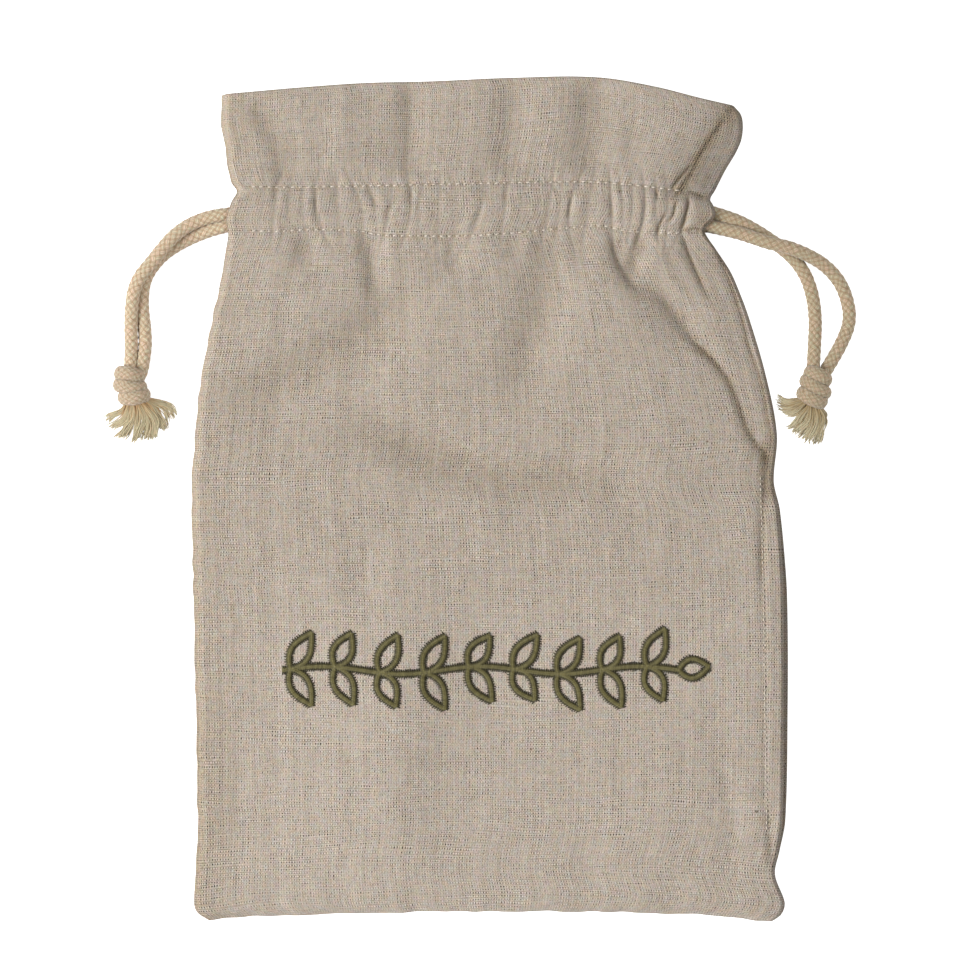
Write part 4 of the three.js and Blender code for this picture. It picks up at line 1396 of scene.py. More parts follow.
class ClothSheet:
    """A closed sheet of cloth: a fine upper face, a coarser lower face and a rounded edge."""

    FLAT_WIDTH = 285.0
    CROWDED_FROM = (0.52, 0.68)
    # Painted shade on the rolled edge's rings
    RIM_DARK = 0.4
    RIM_RINGS = ((0.28, 0.14), (0.42, 0.45), (0.3, 0.8))
    CELL = 4.0

    def __init__(self, shape: SackShape, panel: Panel) -> None:
        """Keep the shape that the sheet takes and the panel that it is."""
        self.shape = shape
        self.panel = panel

    def row(self, level: float, columns: int) -> tuple[Array, Array]:
        """Lay one row of points across the panel.

        Args:
            level: The cloth's own level of the row.
            columns: How many cells it has.

        Returns:
            The points, and the painted shade of the cloth at each of them.
        """
        even = np.linspace(0.0, 1.0, columns + 1)
        share = np.interp(even, (0.0, self.CROWDED_FROM[0], 1.0), (0.0, self.CROWDED_FROM[1], 1.0))
        levels = np.full(share.shape, level)
        left = self.shape.left_at(np.asarray(level))
        right = self.shape.right_at(np.asarray(level), self.panel)
        x = left + share * (right - left)
        y = levels + self.shape.shift(x, levels)
        if self.panel is Panel.FRONT:
            z, dark = self.shape.front(x, y, levels)
        else:
            z, dark = self.shape.back(x, levels), np.zeros(x.shape)
        return np.stack([x, y, z], axis=1), dark

    def face(self, zones: Sequence[RowZone]) -> SheetFace:
        """Lay all rows of one face.

        Args:
            zones: How the face is divided.

        Returns:
            The face.
        """
        steps = [(level, zone.columns) for zone in zones
                 for level in np.linspace(zone.start, zone.end, zone.rows + 1)[:-1]]
        steps.append((zones[-1].end, zones[-1].columns))
        rows, dark = zip(*(self.row(level, columns) for level, columns in steps))
        return SheetFace(list(rows), list(dark), [level for level, _ in steps])

    def cut_places(self, face: SheetFace) -> list[Array]:
        """Find the places of a face's points on the cut cloth.

        Args:
            face: The face.

        Returns:
            For each row, how far across and along the cloth its points lie, and 0.
        """
        runs = run_lengths(np.array([row[len(row) // 2] for row in face.rows]))
        runs -= np.interp(0.0, face.levels, runs)
        places = []
        for row, level, run in zip(face.rows, face.levels, runs):
            arc = run_lengths(row[:, [0, 2]])
            if self.panel is Panel.FRONT:
                arc += max(0.0, self.FLAT_WIDTH - arc[-1]) * self.shape.taken_up(row[:, 0], level)
            across = (arc / arc[-1] - 0.5) * self.FLAT_WIDTH
            places.append(np.stack([across, np.full(len(row), run), np.zeros(len(row))], axis=1))
        return places

    def build(self, name: str, upper: Sequence[RowZone], lower: Sequence[RowZone],
              material: Material) -> Piece:
        """Make the sheet.

        Args:
            name: Name of the object.
            upper: How the upper face is divided.
            lower: How the lower face is divided.
            material: Its material.

        Returns:
            The object.
        """
        shell = Shell()
        top = self.face(upper)
        under = self.face(lower)
        self.lay_under(under, top)
        self.add_face(shell, top, False)
        self.add_face(shell, under, True)
        self.add_rim(shell, top, under)
        return shell.build(name, material)

    def lay_under(self, face: SheetFace, above: SheetFace) -> None:
        """Set the lower face's points one thickness under the lowest of the upper face near them.

        Args:
            face: The lower face, at the height of the upper one.
            above: The upper face.
        """
        cloud = np.vstack(above.rows)
        cells = np.floor(cloud[:, :2] / self.CELL).astype(int)
        start = cells.min(axis=0) - 1
        size = cells.max(axis=0) - start + 2
        lowest = np.full(size, np.inf)
        np.minimum.at(lowest, tuple((cells - start).T), cloud[:, 2])
        for row, level in zip(face.rows, face.levels):
            cell = np.clip(np.floor(row[:, :2] / self.CELL).astype(int) - start, 0, size - 1)
            floor = np.minimum(lowest[tuple(cell.T)], row[:, 2])
            row[:, 2] = np.maximum(floor - self.shape.thickness(np.full(len(row), level)), 0.0)
        face.dark = [np.zeros(len(row)) for row in face.rows]

    def add_face(self, shell: Shell, face: SheetFace, downward: bool) -> None:
        """Add one face of the sheet to the shell.

        Args:
            shell: The mesh in the making.
            face: The face, which learns its points' numbers.
            downward: Whether it looks down.
        """
        for row, shade, cloth in zip(face.rows, face.dark, self.cut_places(face)):
            first = shell.add(row, [], cloth=cloth, dark=shade)
            face.numbers.append(list(range(first, first + len(row))))
        for near, far in zip(face.numbers, face.numbers[1:]):
            shell.faces.extend(zip_strip(near, far, downward))

    def border(self, face: SheetFace) -> tuple[list[int], Array]:
        """Walk round a face's border: along the bottom, up the right, back along the top, down the left.

        Args:
            face: The face.

        Returns:
            The numbers of the border's points, and the points.
        """
        bottom, *middle, top = face.numbers
        ring = [*bottom, *(row[-1] for row in middle), *reversed(top), *(row[0] for row in reversed(middle))]
        return ring, np.vstack(face.rows)[np.array(ring) - bottom[0]]

    def add_rim(self, shell: Shell, top: SheetFace, under: SheetFace) -> None:
        """Close the sheet with a rounded edge between its two faces.

        Args:
            shell: The mesh in the making.
            top: The upper face.
            under: The lower face.
        """
        ring, points = self.border(top)
        ahead = np.roll(points, -1, axis=0) - np.roll(points, 1, axis=0)
        outward = unit(np.stack([ahead[:, 1], -ahead[:, 0], np.zeros(len(ahead))], axis=1))
        thick = self.shape.thickness(self.shape.level_at(points[:, 0], points[:, 1]))[:, None]
        down = np.array([[0.0, 0.0, 1.0]])
        cloth = np.vstack(self.cut_places(top))[np.array(ring) - ring[0]]
        rings = [ring]
        for outreach, drop in self.RIM_RINGS:
            line = points + outward * thick * outreach - down * thick * drop
            place = cloth + outward * thick * (outreach + drop)
            first = shell.add(line, [], cloth=place, dark=np.full(len(line), self.RIM_DARK))
            rings.append(list(range(first, first + len(line))))
        for upper, lower in zip(rings, rings[1:]):
            shell.faces.extend(zip_loop(upper, lower))
        shell.faces.extend(zip_uneven(rings[-1], points, *self.border(under)))


def walk_both(near: Sequence[float], far: Sequence[float]) -> Iterator[tuple[int, int, bool]]:
    """Walk along two rows of points at once, each time on to the next point that comes first.

    Args:
        near: How far along the first row each of its points lies.
        far: The same for the other row.

    Returns:
        For each step, where the walk stands in both rows and whether it goes on along the first one.
    """
    i = 0
    j = 0
    while i < len(near) - 1 or j < len(far) - 1:
        next_near = near[i + 1] if i < len(near) - 1 else math.inf
        next_far = far[j + 1] if j < len(far) - 1 else math.inf
        on_near = next_near <= next_far
        yield i, j, on_near
        i += on_near
        j += not on_near


def zip_strip(near: list[int], far: list[int], downward: bool) -> list[Face]:
    """Join two rows of points that may have different counts.

    Args:
        near: Numbers of the first row's points, from the left.
        far: Numbers of the next row's points.
        downward: Whether the faces look down.

    Returns:
        The faces between the rows.
    """
    faces: list[Face] = []
    if len(near) == len(far):
        for j in range(len(near) - 1):
            faces.append((near[j], near[j + 1], far[j + 1], far[j]))
    else:
        near_shares, far_shares = ([i / (len(row) - 1) for i in range(len(row))] for row in (near, far))
        for i, j, on_near in walk_both(near_shares, far_shares):
            faces.append((near[i], near[i + 1] if on_near else far[j + 1], far[j]))
    return [tuple(reversed(face)) for face in faces] if downward else faces


def zip_loop(upper: list[int], lower: list[int]) -> list[Face]:
    """Join two closed rings of as many points, the upper one walked with the outside right."""
    after = [*range(1, len(upper)), 0]
    return [(upper[i], lower[i], lower[k], upper[k]) for i, k in enumerate(after)]


def loop_shares(points: Array) -> Array:
    """Give each point's share of the way round a closed ring, and 1 for its start again."""
    along = run_lengths(np.vstack([points, points[:1]])[:, :2])
    return along / along[-1]


def zip_uneven(upper: list[int], upper_points: Array, lower: list[int], lower_points: Array) -> list[Face]:
    """Join two closed rings of different counts that start at the same corner.

    Args:
        upper: Numbers of the upper ring's points.
        upper_points: Where its points lie.
        lower: Numbers of the lower ring's points.
        lower_points: Where they lie.

    Returns:
        The triangles between the rings.
    """
    faces: list[Face] = []
    upper_ring = [*upper, upper[0]]
    lower_ring = [*lower, lower[0]]
    for i, j, on_upper in walk_both(loop_shares(upper_points), loop_shares(lower_points)):
        faces.append((upper_ring[i], lower_ring[j], upper_ring[i + 1] if on_upper else lower_ring[j + 1]))
    return faces


@dataclass
class SackCloth:
    """The front and the back cloth of the sack."""

    shape: SackShape
    finish: LinenFinish = LinenFinish()
    front_zones: tuple[RowZone, ...] = (
        RowZone(-197, -187, 10, 212),
        RowZone(-187, 60, 130, 212),
        RowZone(60, 112, 40, 300),
        RowZone(112, 160, 76, 420),
        RowZone(160, 197, 32, 240),
    )
    front_under: tuple[RowZone, ...] = (RowZone(-197, 90, 66, 80), RowZone(90, 197, 50, 80))
    back_zones: tuple[RowZone, ...] = (
        RowZone(-197, -187, 6, 110),
        RowZone(-187, 197, 150, 110),
    )
    back_under: tuple[RowZone, ...] = (RowZone(-197, 197, 80, 56),)

    def build(self) -> dict[Panel, Piece]:
        """Make both cloths and say what they stand for.

        Returns:
            The objects, by their panels.
        """
        material = self.finish.make()
        made = {
            Panel.FRONT: ClothSheet(self.shape, Panel.FRONT).build(
                "front_cloth", self.front_zones, self.front_under, material),
            Panel.BACK: ClothSheet(self.shape, Panel.BACK).build(
                "back_cloth", self.back_zones, self.back_under, material),
        }
        for panel, cloth in made.items():
            settle(cloth, Slot.LINEN, panel.value)
        return made


@dataclass
class CasingStitches:
    """The two rows of stitches that make the casing, in cream thread."""

    shape: SackShape
    finish: ThreadFinish = ThreadFinish(
        "cream_thread", linear(226, 216, 202), linear(206, 194, 178), 0.75)
    end: float = 88.0
    length: float = 2.3
    radius: float = 0.33
    flat: float = 0.85
    sunk: float = 0.3
    arch: tuple[float, ...] = (-1.4, 0.35, 0.75, 0.85, 0.75, 0.35, -1.4)
    widths: tuple[float, ...] = (0.5, 0.9, 1.0, 1.05, 1.0, 0.9, 0.5)
    seed: int = 21

    def build(self) -> Piece:
        """Make all stitches as one piece.

        Returns:
            The object.
        """
        shell = Shell()
        draw = np.random.default_rng(self.seed)
        places = np.arange(self.shape.stitch_start, self.end, self.shape.stitch_pitch)
        for number in range(2 * len(places)):
            line, stitch = divmod(number, len(places))
            begin = places[stitch] + draw.uniform(-0.2, 0.2)
            reach = self.length * draw.uniform(0.8, 1.1)
            x = np.linspace(begin, begin + reach, len(self.arch))
            slant = np.linspace(-0.2, 0.2, len(self.arch)) * draw.uniform(0.3, 1.8)
            y = self.shape.casing_lines(x)[line] + slant
            rise = self.radius * np.array(self.arch)
            z = self.shape.on_front(x, y) + rise - self.sunk * draw.uniform(0, 1) ** 2
            width = self.radius * np.array(self.widths)
            shell.thread(np.stack([x, y, z], axis=1), x, number, width, 8, self.flat)
        made = shell.build("casing_stitches", self.finish.make())
        return settle(made, Slot.THREAD)


@dataclass
class SeamStitches:
    """The short stitches beside the right side seam."""

    shape: SackShape
    finish: ThreadFinish = ThreadFinish(
        "seam_thread", linear(219, 209, 194), linear(202, 191, 175), 0.75)
    route: Track = Track(((-157, 131.6), (-89, 130.5), (-33, 129.7), (10, 128.5)))
    start: float = -157.0
    end: float = 10.0
    pitch: float = 2.68
    length: float = 1.75
    radius: float = 0.31
    flat: float = 0.85
    arch: tuple[float, ...] = (-1.3, 0.4, 0.8, 0.8, 0.4, -1.3)
    widths: tuple[float, ...] = (0.5, 0.9, 1.0, 1.0, 0.9, 0.5)
    seed: int = 22

    def build(self) -> Piece:
        """Make all stitches as one piece.

        Returns:
            The object.
        """
        shell = Shell()
        draw = np.random.default_rng(self.seed)
        for number, at in enumerate(np.arange(self.start, self.end, self.pitch)):
            y = np.linspace(at, at + self.length * draw.uniform(0.85, 1.1), len(self.arch))
            x = self.route.at(y) + np.linspace(-0.1, 0.1, len(self.arch)) * draw.uniform(-1, 1)
            z = self.shape.on_front(x, y) + self.radius * np.array(self.arch)
            width = self.radius * np.array(self.widths)
            shell.thread(np.stack([x, y, z], axis=1), y, number, width, 7, self.flat)
        made = shell.build("side_seam_stitches", self.finish.make())
        return settle(made, Slot.THREAD)


@dataclass
class LeafGarland:
    """A waving stem with slim open leaves, drawn in olive satin stitch across the front."""

    shape: SackShape
    finish: ThreadFinish = ThreadFinish(
        "olive_satin", linear(138, 130, 80), linear(116, 107, 62), 0.5, 0.1, 0.4)
    middle: Point = (-4.4, -81.0)
    width: float = 188.0
    wave: float = 1.8
    waves: float = 2.5
    half: float = 1.4
    leaf_length: float = 20.5
    leaf_width: float = 9.2
    thread: float = 0.31
    pitch: float = 0.54
    lift: float = 0.62
    leaf_pairs: int = 9
    first_pair: float = 0.02
    pairs_over: float = 0.9
    leaf_angle: float = 60.0
    shares: tuple[float, ...] = (-1.0, -0.8, -0.5, 0.0, 0.5, 0.8, 1.0)
    arch: tuple[float, ...] = (-0.2, 0.35, 0.85, 1.0, 0.85, 0.35, -0.2)
    widths: tuple[float, ...] = (0.9, 1.0, 1.0, 1.0, 1.0, 1.0, 0.9)
    seed: int = 27

    def stem_at(self, share: float | Array) -> Array:
        """Give the stem's middle line.

        Args:
            share: Share of the garland's width, from the left.

        Returns:
            The place on the cloth.
        """
        x = self.middle[0] + self.width * (np.asarray(share) - 0.5)
        y = self.middle[1] + self.wave * np.sin(2 * np.pi * self.waves * np.asarray(share))
        return np.stack([x, y], axis=-1)

    def build(self) -> Piece:
        """Make the whole garland as one piece.

        Returns:
            The object.
        """
        shell = Shell()
        draw = np.random.default_rng(self.seed)
        self.stroke(shell, draw, self.stem_at(np.linspace(0, 1, 200)))
        for i in range(self.leaf_pairs):
            root = self.stem_at(self.first_pair + self.pairs_over * i / (self.leaf_pairs - 1))
            for side in (1, -1):
                reach = self.leaf_length * (0.93 + 0.07 * math.cos(2.1 * i + side))
                self.leaf(shell, draw, root, side * math.radians(self.leaf_angle + 5 * math.sin(i)), reach)
        self.leaf(shell, draw, self.stem_at(1.0), 0.12, self.leaf_length * 0.7)
        made = shell.build("leaf_garland", self.finish.make())
        return settle(made, Slot.OLIVE)

    def leaf(self, shell: Shell, draw: Draw, root: Array, heading: float,
             reach: float) -> None:
        """Add the outline of one leaf.

        Args:
            shell: The mesh in the making.
            draw: Source of small differences between the threads.
            root: Where it leaves the stem.
            heading: Where it points, in radians.
            reach: Its length.
        """
        ahead = np.array([math.cos(heading), math.sin(heading)])
        beside = np.array([-ahead[1], ahead[0]])
        share = np.linspace(0.0, 1.0, 30)[:, None]
        for way in (1, -1):
            bulge = 0.5 * way * self.leaf_width * np.sin(np.pi * share**0.85)
            self.stroke(shell, draw, root + reach * ahead * share + beside * bulge)

    def stroke(self, shell: Shell, draw: Draw, line: Array) -> None:
        """Lay satin threads side by side across a line, their ends uneven and darkened with painted shade.

        Args:
            shell: The mesh in the making.
            draw: Source of small differences between the threads.
            line: The line's points on the cloth.
        """
        laid = even_route(line, self.pitch)
        ahead = unit(np.gradient(laid, axis=0))
        across = np.stack([-ahead[:, 1], ahead[:, 0]], axis=1) + 0.2 * ahead
        share = np.array(self.shares)
        number = float(shell.count)
        for i, (place, turn) in enumerate(zip(laid, across)):
            long = i % 2 == 0
            ends = self.half + (draw.uniform(0.45, 1.05, 2) if long else draw.uniform(-0.2, 0.1, 2))
            reach = np.where(share < 0, ends[0], ends[1]) * share
            x = place[0] + turn[0] * reach
            y = place[1] + turn[1] * reach
            z = self.shape.on_front(x, y) + self.lift * np.array(self.arch) * draw.uniform(0.85, 1.1)
            width = self.thread * np.array(self.widths)
            # Painted shade towards the stroke's edges, and a little more on the short threads
            deep = ease((np.abs(reach) - self.half + 0.95) / 0.9) * 0.95 + (0.0 if long else 0.12)
            shell.thread(np.stack([x, y, z], axis=1), reach, number + i, width, 5, 0.9, deep)


@dataclass(frozen=True)
class CordRoute:
    """One stretch of drawcord, from inside the casing to its knot."""

    name: str
    side: Side
    points: tuple[Spot, ...]
    exit_at: int = 1


CORD_ROUTES = (
    CordRoute("cord_left_upper", Side.LEFT, (
        (-117, 136.2, 4.9), (-124, 135.6, 5.0), (-131, 134.6, 5.4), (-138.5, 132.4, 6.0),
        (-145.6, 128.6, 7.2), (-152.2, 122.8, 8.9), (-160.4, 112.8, 9.5), (-165.6, 106.4, 9.0),
        (-168.8, 99.6, 8.0), (-170.2, 91, 6.6), (-170.6, 81, 5.0), (-170.4, 73, 5.0),
        (-170.7, 63.2, 6.5), (-171, 59, 7.2),
    )),
    CordRoute("cord_left_lower", Side.LEFT, (
        (-117, 130, 4.6), (-124, 130.1, 4.4), (-131, 128.5, 4.0), (-138.5, 125.9, 3.3),
        (-147, 121.9, 3.1), (-155, 116.6, 3.1), (-161.2, 109.6, 3.1), (-164.6, 102, 3.1),
        (-165.3, 92, 3.1), (-164.3, 81.5, 3.4), (-163.9, 73, 4.5), (-165.2, 62.3, 6.5),
        (-166.6, 58.5, 7.2),
    )),
    CordRoute("cord_right_upper", Side.RIGHT, (
        (96, 137.0, 4.9), (103, 136.7, 4.9), (110, 135.0, 4.6), (120, 131.3, 3.4),
        (131.5, 124.6, 3), (142.5, 116.2, 3), (149.3, 107.6, 3), (153.2, 97, 3),
        (154.6, 85, 3.2), (154.2, 74, 4.6), (153.6, 64.2, 6.5), (153.4, 60, 7.2),
    )),
    CordRoute("cord_right_lower", Side.RIGHT, (
        (96, 130.4, 4.9), (103, 130.0, 4.9), (110, 128.6, 5), (119.5, 126.1, 6.8),
        (131.5, 122, 9.1), (144, 118.8, 8.6), (157, 112.6, 4.8), (165.4, 104.4, 3),
        (169.9, 94, 3), (170.6, 84, 3), (166.6, 73.4, 4.2), (159.5, 61.2, 6.5), (157.4, 57.6, 7.2),
    )),
)


@dataclass(frozen=True)
class Braid:
    """The surface of a round braid: strands that wind both ways, over and under each other."""

    diameter: float = 6.4
    strands: int = 6
    lead: float = 21.0
    depth: float = 0.4
    sides: int = 40
    step: float = 0.42
    slip: float = 0.24
    mean_crown: float = 0.72
    strand_lay: float = 3.1
    uneven: Ripple = Ripple(41, 1.6, 3.4)

    def surface(self, along: Array) -> tuple[Array, Array, Array]:
        """Give the braid's surface along a cord.

        Args:
            along: How far along the cord each ring lies.

        Returns:
            The radius, how deep between the strands it is and the place on the strands, for
            each ring and each side.
        """
        turn = np.arange(self.sides) / self.sides
        rings = along[:, None] / self.lead
        slip = self.slip * self.uneven.at(2 * self.strands * turn[None, :], along[:, None])
        first = self.strands * (turn[None, :] + rings) + slip
        second = self.strands * (turn[None, :] - rings) + slip
        over = (np.floor(first) + np.floor(second)) % 2 == 0
        first_part = first - np.floor(first) - 0.5
        second_part = second - np.floor(second) - 0.5
        across = np.where(over, first_part, second_part)
        beside = np.where(over, second_part, first_part)
        crown = np.sqrt(np.maximum(0.0, np.cos(np.pi * across))) * (0.55 + 0.45 * np.cos(np.pi * beside))
        radius = self.diameter / 2 + self.depth * (crown - self.mean_crown)
        width = math.pi * self.diameter / self.strands
        number = np.where(over, np.floor(first) % self.strands,
                          self.strands + np.floor(second) % self.strands)
        lay = np.stack([
            across * width + number * self.strand_lay,
            beside * width + along[:, None] * np.where(over, 1.0, -1.0),
            number,
        ], axis=-1)
        return radius, 1 - crown, lay


@dataclass
class Drawcords:
    """The four stretches of braided drawcord."""

    braid: Braid = Braid()
    routes: tuple[CordRoute, ...] = CORD_ROUTES
    clear: float = 0.1

    def build(self, cotton: dict[Side, Material]) -> dict[str, Piece]:
        """Make the cords.

        Args:
            cotton: The cotton of each side's cords.

        Returns:
            The objects, by the names of their routes.
        """
        made = {}
        for route in self.routes:
            line = self.line(route)
            shell = Shell()
            radius, deep, lay = self.braid.surface(run_lengths(line))
            shell.tube(line, radius, self.braid.sides)
            shell.values["deep"] = [deep.ravel()]
            shell.values["lay"] = [lay.reshape(-1, 3)]
            cord = shell.build("braided_" + route.name, cotton[route.side])
            made[route.name] = settle(cord, Slot.CORD, route.name)
        return made

    def line(self, route: CordRoute) -> Array:
        """Lay a cord's middle line, nowhere so low that the cord sinks into the table.

        Args:
            route: The cord's route.

        Returns:
            The line's points.
        """
        laid = even_route(smooth_route(route.points, 12), self.braid.step)
        laid[:, 2] = np.maximum(laid[:, 2], self.braid.diameter / 2 + self.clear)
        return laid

    def declare(self, cords: dict[str, Piece]) -> None:
        """Work out where each cord leaves the casing and how long it is, and keep neither.

        Args:
            cords: Not used.
        """
        for route in self.routes:
            line = self.line(route)
            tuple(value * MM for value in route.points[route.exit_at])
            float(run_lengths(line)[-1]) * MM


@dataclass(frozen=True)
class Turn:
    """One turn of cord round a knot: where it lies, how it slants, how far it stands out, its bow."""

    at: float
    tilt: float
    wide: float
    aside: float
    bow: float = 0.0


@dataclass
class CordKnot:
    """An overhand knot in the doubled cord: turns of cord round a core."""

    side: Side
    x: float
    y: float
    turned: float
    turns: tuple[Turn, ...]
    braid: Braid = Braid(diameter=7.2, strands=9, sides=40, step=0.5, depth=0.5)
    half_height: float = 7.5
    core: Spot = (6.2, 7.7, 6.7)
    # The core, between the turns, takes painted shade almost throughout
    core_deep: float = 0.9
    thick: float = 2.9
    turn_points: int = 96

    def place(self, points: Array) -> Array:
        """Turn and move points of the knot to where it lies.

        Args:
            points: The points, counted from the knot's middle.

        Returns:
            The points in the frame of the sack.
        """
        turn = math.radians(self.turned)
        x = points[:, 0] * math.cos(turn) - points[:, 1] * math.sin(turn)
        y = points[:, 0] * math.sin(turn) + points[:, 1] * math.cos(turn)
        return np.stack([x + self.x, y + self.y, points[:, 2] + self.half_height], axis=1)

    def build(self, material: Material) -> Piece:
        """Make the knot as one piece.

        Args:
            material: The cotton of the cords.

        Returns:
            The object.
        """
        shell = Shell()
        self.add_core(shell)
        for turn in self.turns:
            self.add_turn(shell, turn)
        made = shell.build("cord_knot_" + self.side.value, material)
        return settle(made, Slot.CORD, "knot_" + self.side.value)

    def add_core(self, shell: Shell) -> None:
        """Add the core, which fills the knot between its turns.

        Args:
            shell: The mesh in the making.
        """
        rings = 18
        sides = 26
        polar = np.linspace(0.04, math.pi - 0.04, rings)
        around = 2 * np.pi * np.arange(sides) / sides
        x = self.core[0] * np.sin(polar)[:, None] * np.cos(around)[None, :]
        z = self.core[2] * np.sin(polar)[:, None] * np.sin(around)[None, :]
        y = self.core[1] * np.cos(polar)[:, None] * np.ones(sides)[None, :]
        points = self.place(np.stack([x, y, z], axis=-1).reshape(-1, 3))
        faces = [tuple(range(sides)), tuple(reversed(range((rings - 1) * sides, rings * sides)))]
        faces.extend((a, d, c, b) for a, b, c, d in ring_faces(rings, sides))
        lay = np.stack([points[:, 0], points[:, 1], np.zeros(len(points))], axis=1)
        shell.add(points, faces, deep=np.full(len(points), self.core_deep), lay=lay)

    def add_turn(self, shell: Shell, turn: Turn) -> None:
        """Add one closed turn of braided cord.

        Args:
            shell: The mesh in the making.
            turn: The turn.
        """
        angle = np.linspace(0, 2 * np.pi, self.turn_points, endpoint=False)
        slope = math.tan(math.radians(turn.tilt))
        x = turn.wide * np.cos(angle)
        line = np.stack([
            x + turn.aside,
            turn.at + slope * x + turn.bow * np.sin(angle) * (1 - np.cos(angle) ** 2),
            (self.half_height - self.thick) * np.sin(angle),
        ], axis=1)
        line = self.place(line)
        *along, whole = run_lengths(np.vstack([line, line[:1]]))
        count = max(2, round(along[-1] / self.braid.lead * 2)) / 2
        reach, deep, lay = replace(self.braid, lead=whole / count).surface(np.array(along))
        ahead = unit(np.roll(line, -1, axis=0) - np.roll(line, 1, axis=0))
        middle = self.place(np.array([[turn.aside, turn.at, 0.0]]))[0]
        outward = line - middle
        outward = unit(outward - ahead * np.sum(outward * ahead, axis=1, keepdims=True))
        beside = np.cross(ahead, outward)
        spin = 2 * np.pi * np.arange(self.braid.sides) / self.braid.sides + np.pi
        ring = reach[..., None] * (
            outward[:, None] * np.cos(spin)[None, :, None] * (2 * self.thick / self.braid.diameter)
            + beside[:, None] * np.sin(spin)[None, :, None]
        )
        points = (line[:, None] + ring).reshape(-1, 3)
        # Painted shade on the inner side of each turn, where it lies against the core
        deep = np.maximum(deep, np.clip(1.3 - 2.0 * np.cos(spin), 0.0, 1.0)[None, :])
        faces = ring_faces(len(line), self.braid.sides, True)
        shell.add(points, faces, deep=deep.ravel(), lay=lay.reshape(-1, 3))


@dataclass(frozen=True)
class Lock:
    """A lock of loose yarn: where its tip lies from the knot's middle, its width, height and bow."""

    tip: Point
    width: float
    lift: float
    bow: float = 0.12


@dataclass
class FrayedTassel:
    """The frayed end of the two cords below a knot: flat wavy locks of loose yarn that fan out."""

    knot: CordKnot
    roots: tuple[Point, Point]
    locks: tuple[Lock, ...]
    seed: int
    shade: float = 0.0
    yarn: float = 0.24
    yarn_points: int = 13
    root_height: float = 5.4
    layers: int = 2
    layer_height: float = 0.42

    def build(self, material: Material) -> Piece:
        """Make the tassel as one piece.

        Args:
            material: The cotton of the yarn.

        Returns:
            The object.
        """
        shell = Shell()
        draw = np.random.default_rng(self.seed)
        first, last = (np.array(root) for root in self.roots)
        for i, lock in enumerate(self.locks):
            root = first + (last - first) * i / (len(self.locks) - 1)
            phase = draw.uniform(0, 6)
            count = int(lock.width / self.yarn * 0.95)
            for layer in range(self.layers):
                above = self.layer_height * layer
                for j in range(count):
                    self.add_yarn(shell, draw, root, lock, 2 * (j + 0.5) / count - 1, phase, above)
        made = shell.build("frayed_tassel_" + self.knot.side.value, material)
        return settle(made, Slot.CORD, "knot_" + self.knot.side.value)

    def add_yarn(self, shell: Shell, draw: Draw, root: Array, lock: Lock,
                 place: float, phase: float, above: float) -> None:
        """Add one yarn of a lock.

        Args:
            shell: The mesh in the making.
            draw: Source of small differences between the yarns.
            root: Where the lock leaves the knot.
            lock: The lock.
            place: The yarn's place in it, from -1 to 1.
            phase: Where the lock's waves start.
            above: How far the yarn's layer lies above the lowest one.
        """
        tip = np.array(lock.tip)
        share = np.linspace(0.0, 1.0, self.yarn_points)[:, None] * draw.uniform(0.84, 1.04)
        reach = np.linalg.norm(tip - root)
        ahead = (tip - root) / reach
        beside = np.array([-ahead[1], ahead[0]])
        fan = 0.3 + 0.7 * ease(share * 1.7)
        spread = 0.47 * lock.width * (place + draw.uniform(-0.2, 0.2)) * fan
        wave = 0.95 * np.sin(7.5 * share + phase) + 0.22 * np.sin(15 * share + draw.uniform(0, 6))
        stray = draw.normal(0, 0.6) * share**3
        bow = lock.bow * reach * np.sin(np.pi * share)
        line = root + (tip - root) * share + beside * (spread + wave * share + stray + bow)
        round_lock = math.sqrt(max(0.0, 1 - place * place))
        fall = self.root_height * np.power(np.maximum(1 - share, 0.0), 1.4)
        height = fall + lock.lift * (0.35 + 0.65 * share) + 0.9 * round_lock + above
        height = height + draw.uniform(-0.15, 0.15)
        z = np.maximum(self.yarn + 0.15, height + 0.22 * np.sin(6 * share + 3 * place))
        points = np.hstack([line + np.array([self.knot.x, self.knot.y]), z])
        thinned = np.append(np.ones(self.yarn_points - 2), (0.95, 0.6))
        radius = self.yarn * draw.uniform(0.85, 1.25) * thinned
        # Painted shade: darker near the knot, at the lock's sides and in the lower layer, with a random part,
        # and over the whole tassel by shade
        edge = abs(place) ** 4
        deep = 0.95 - 1.3 * share[:, 0] + 0.5 * edge - 0.5 * above + draw.uniform(-0.25, 0.35) + self.shade
        still = np.zeros(self.yarn_points)
        lay = np.stack([still + draw.uniform(0, 60), 12 * share[:, 0], still], axis=1)
        shell.tube(points, radius, 5, deep=np.clip(deep, 0.0, 1.0), lay=lay)


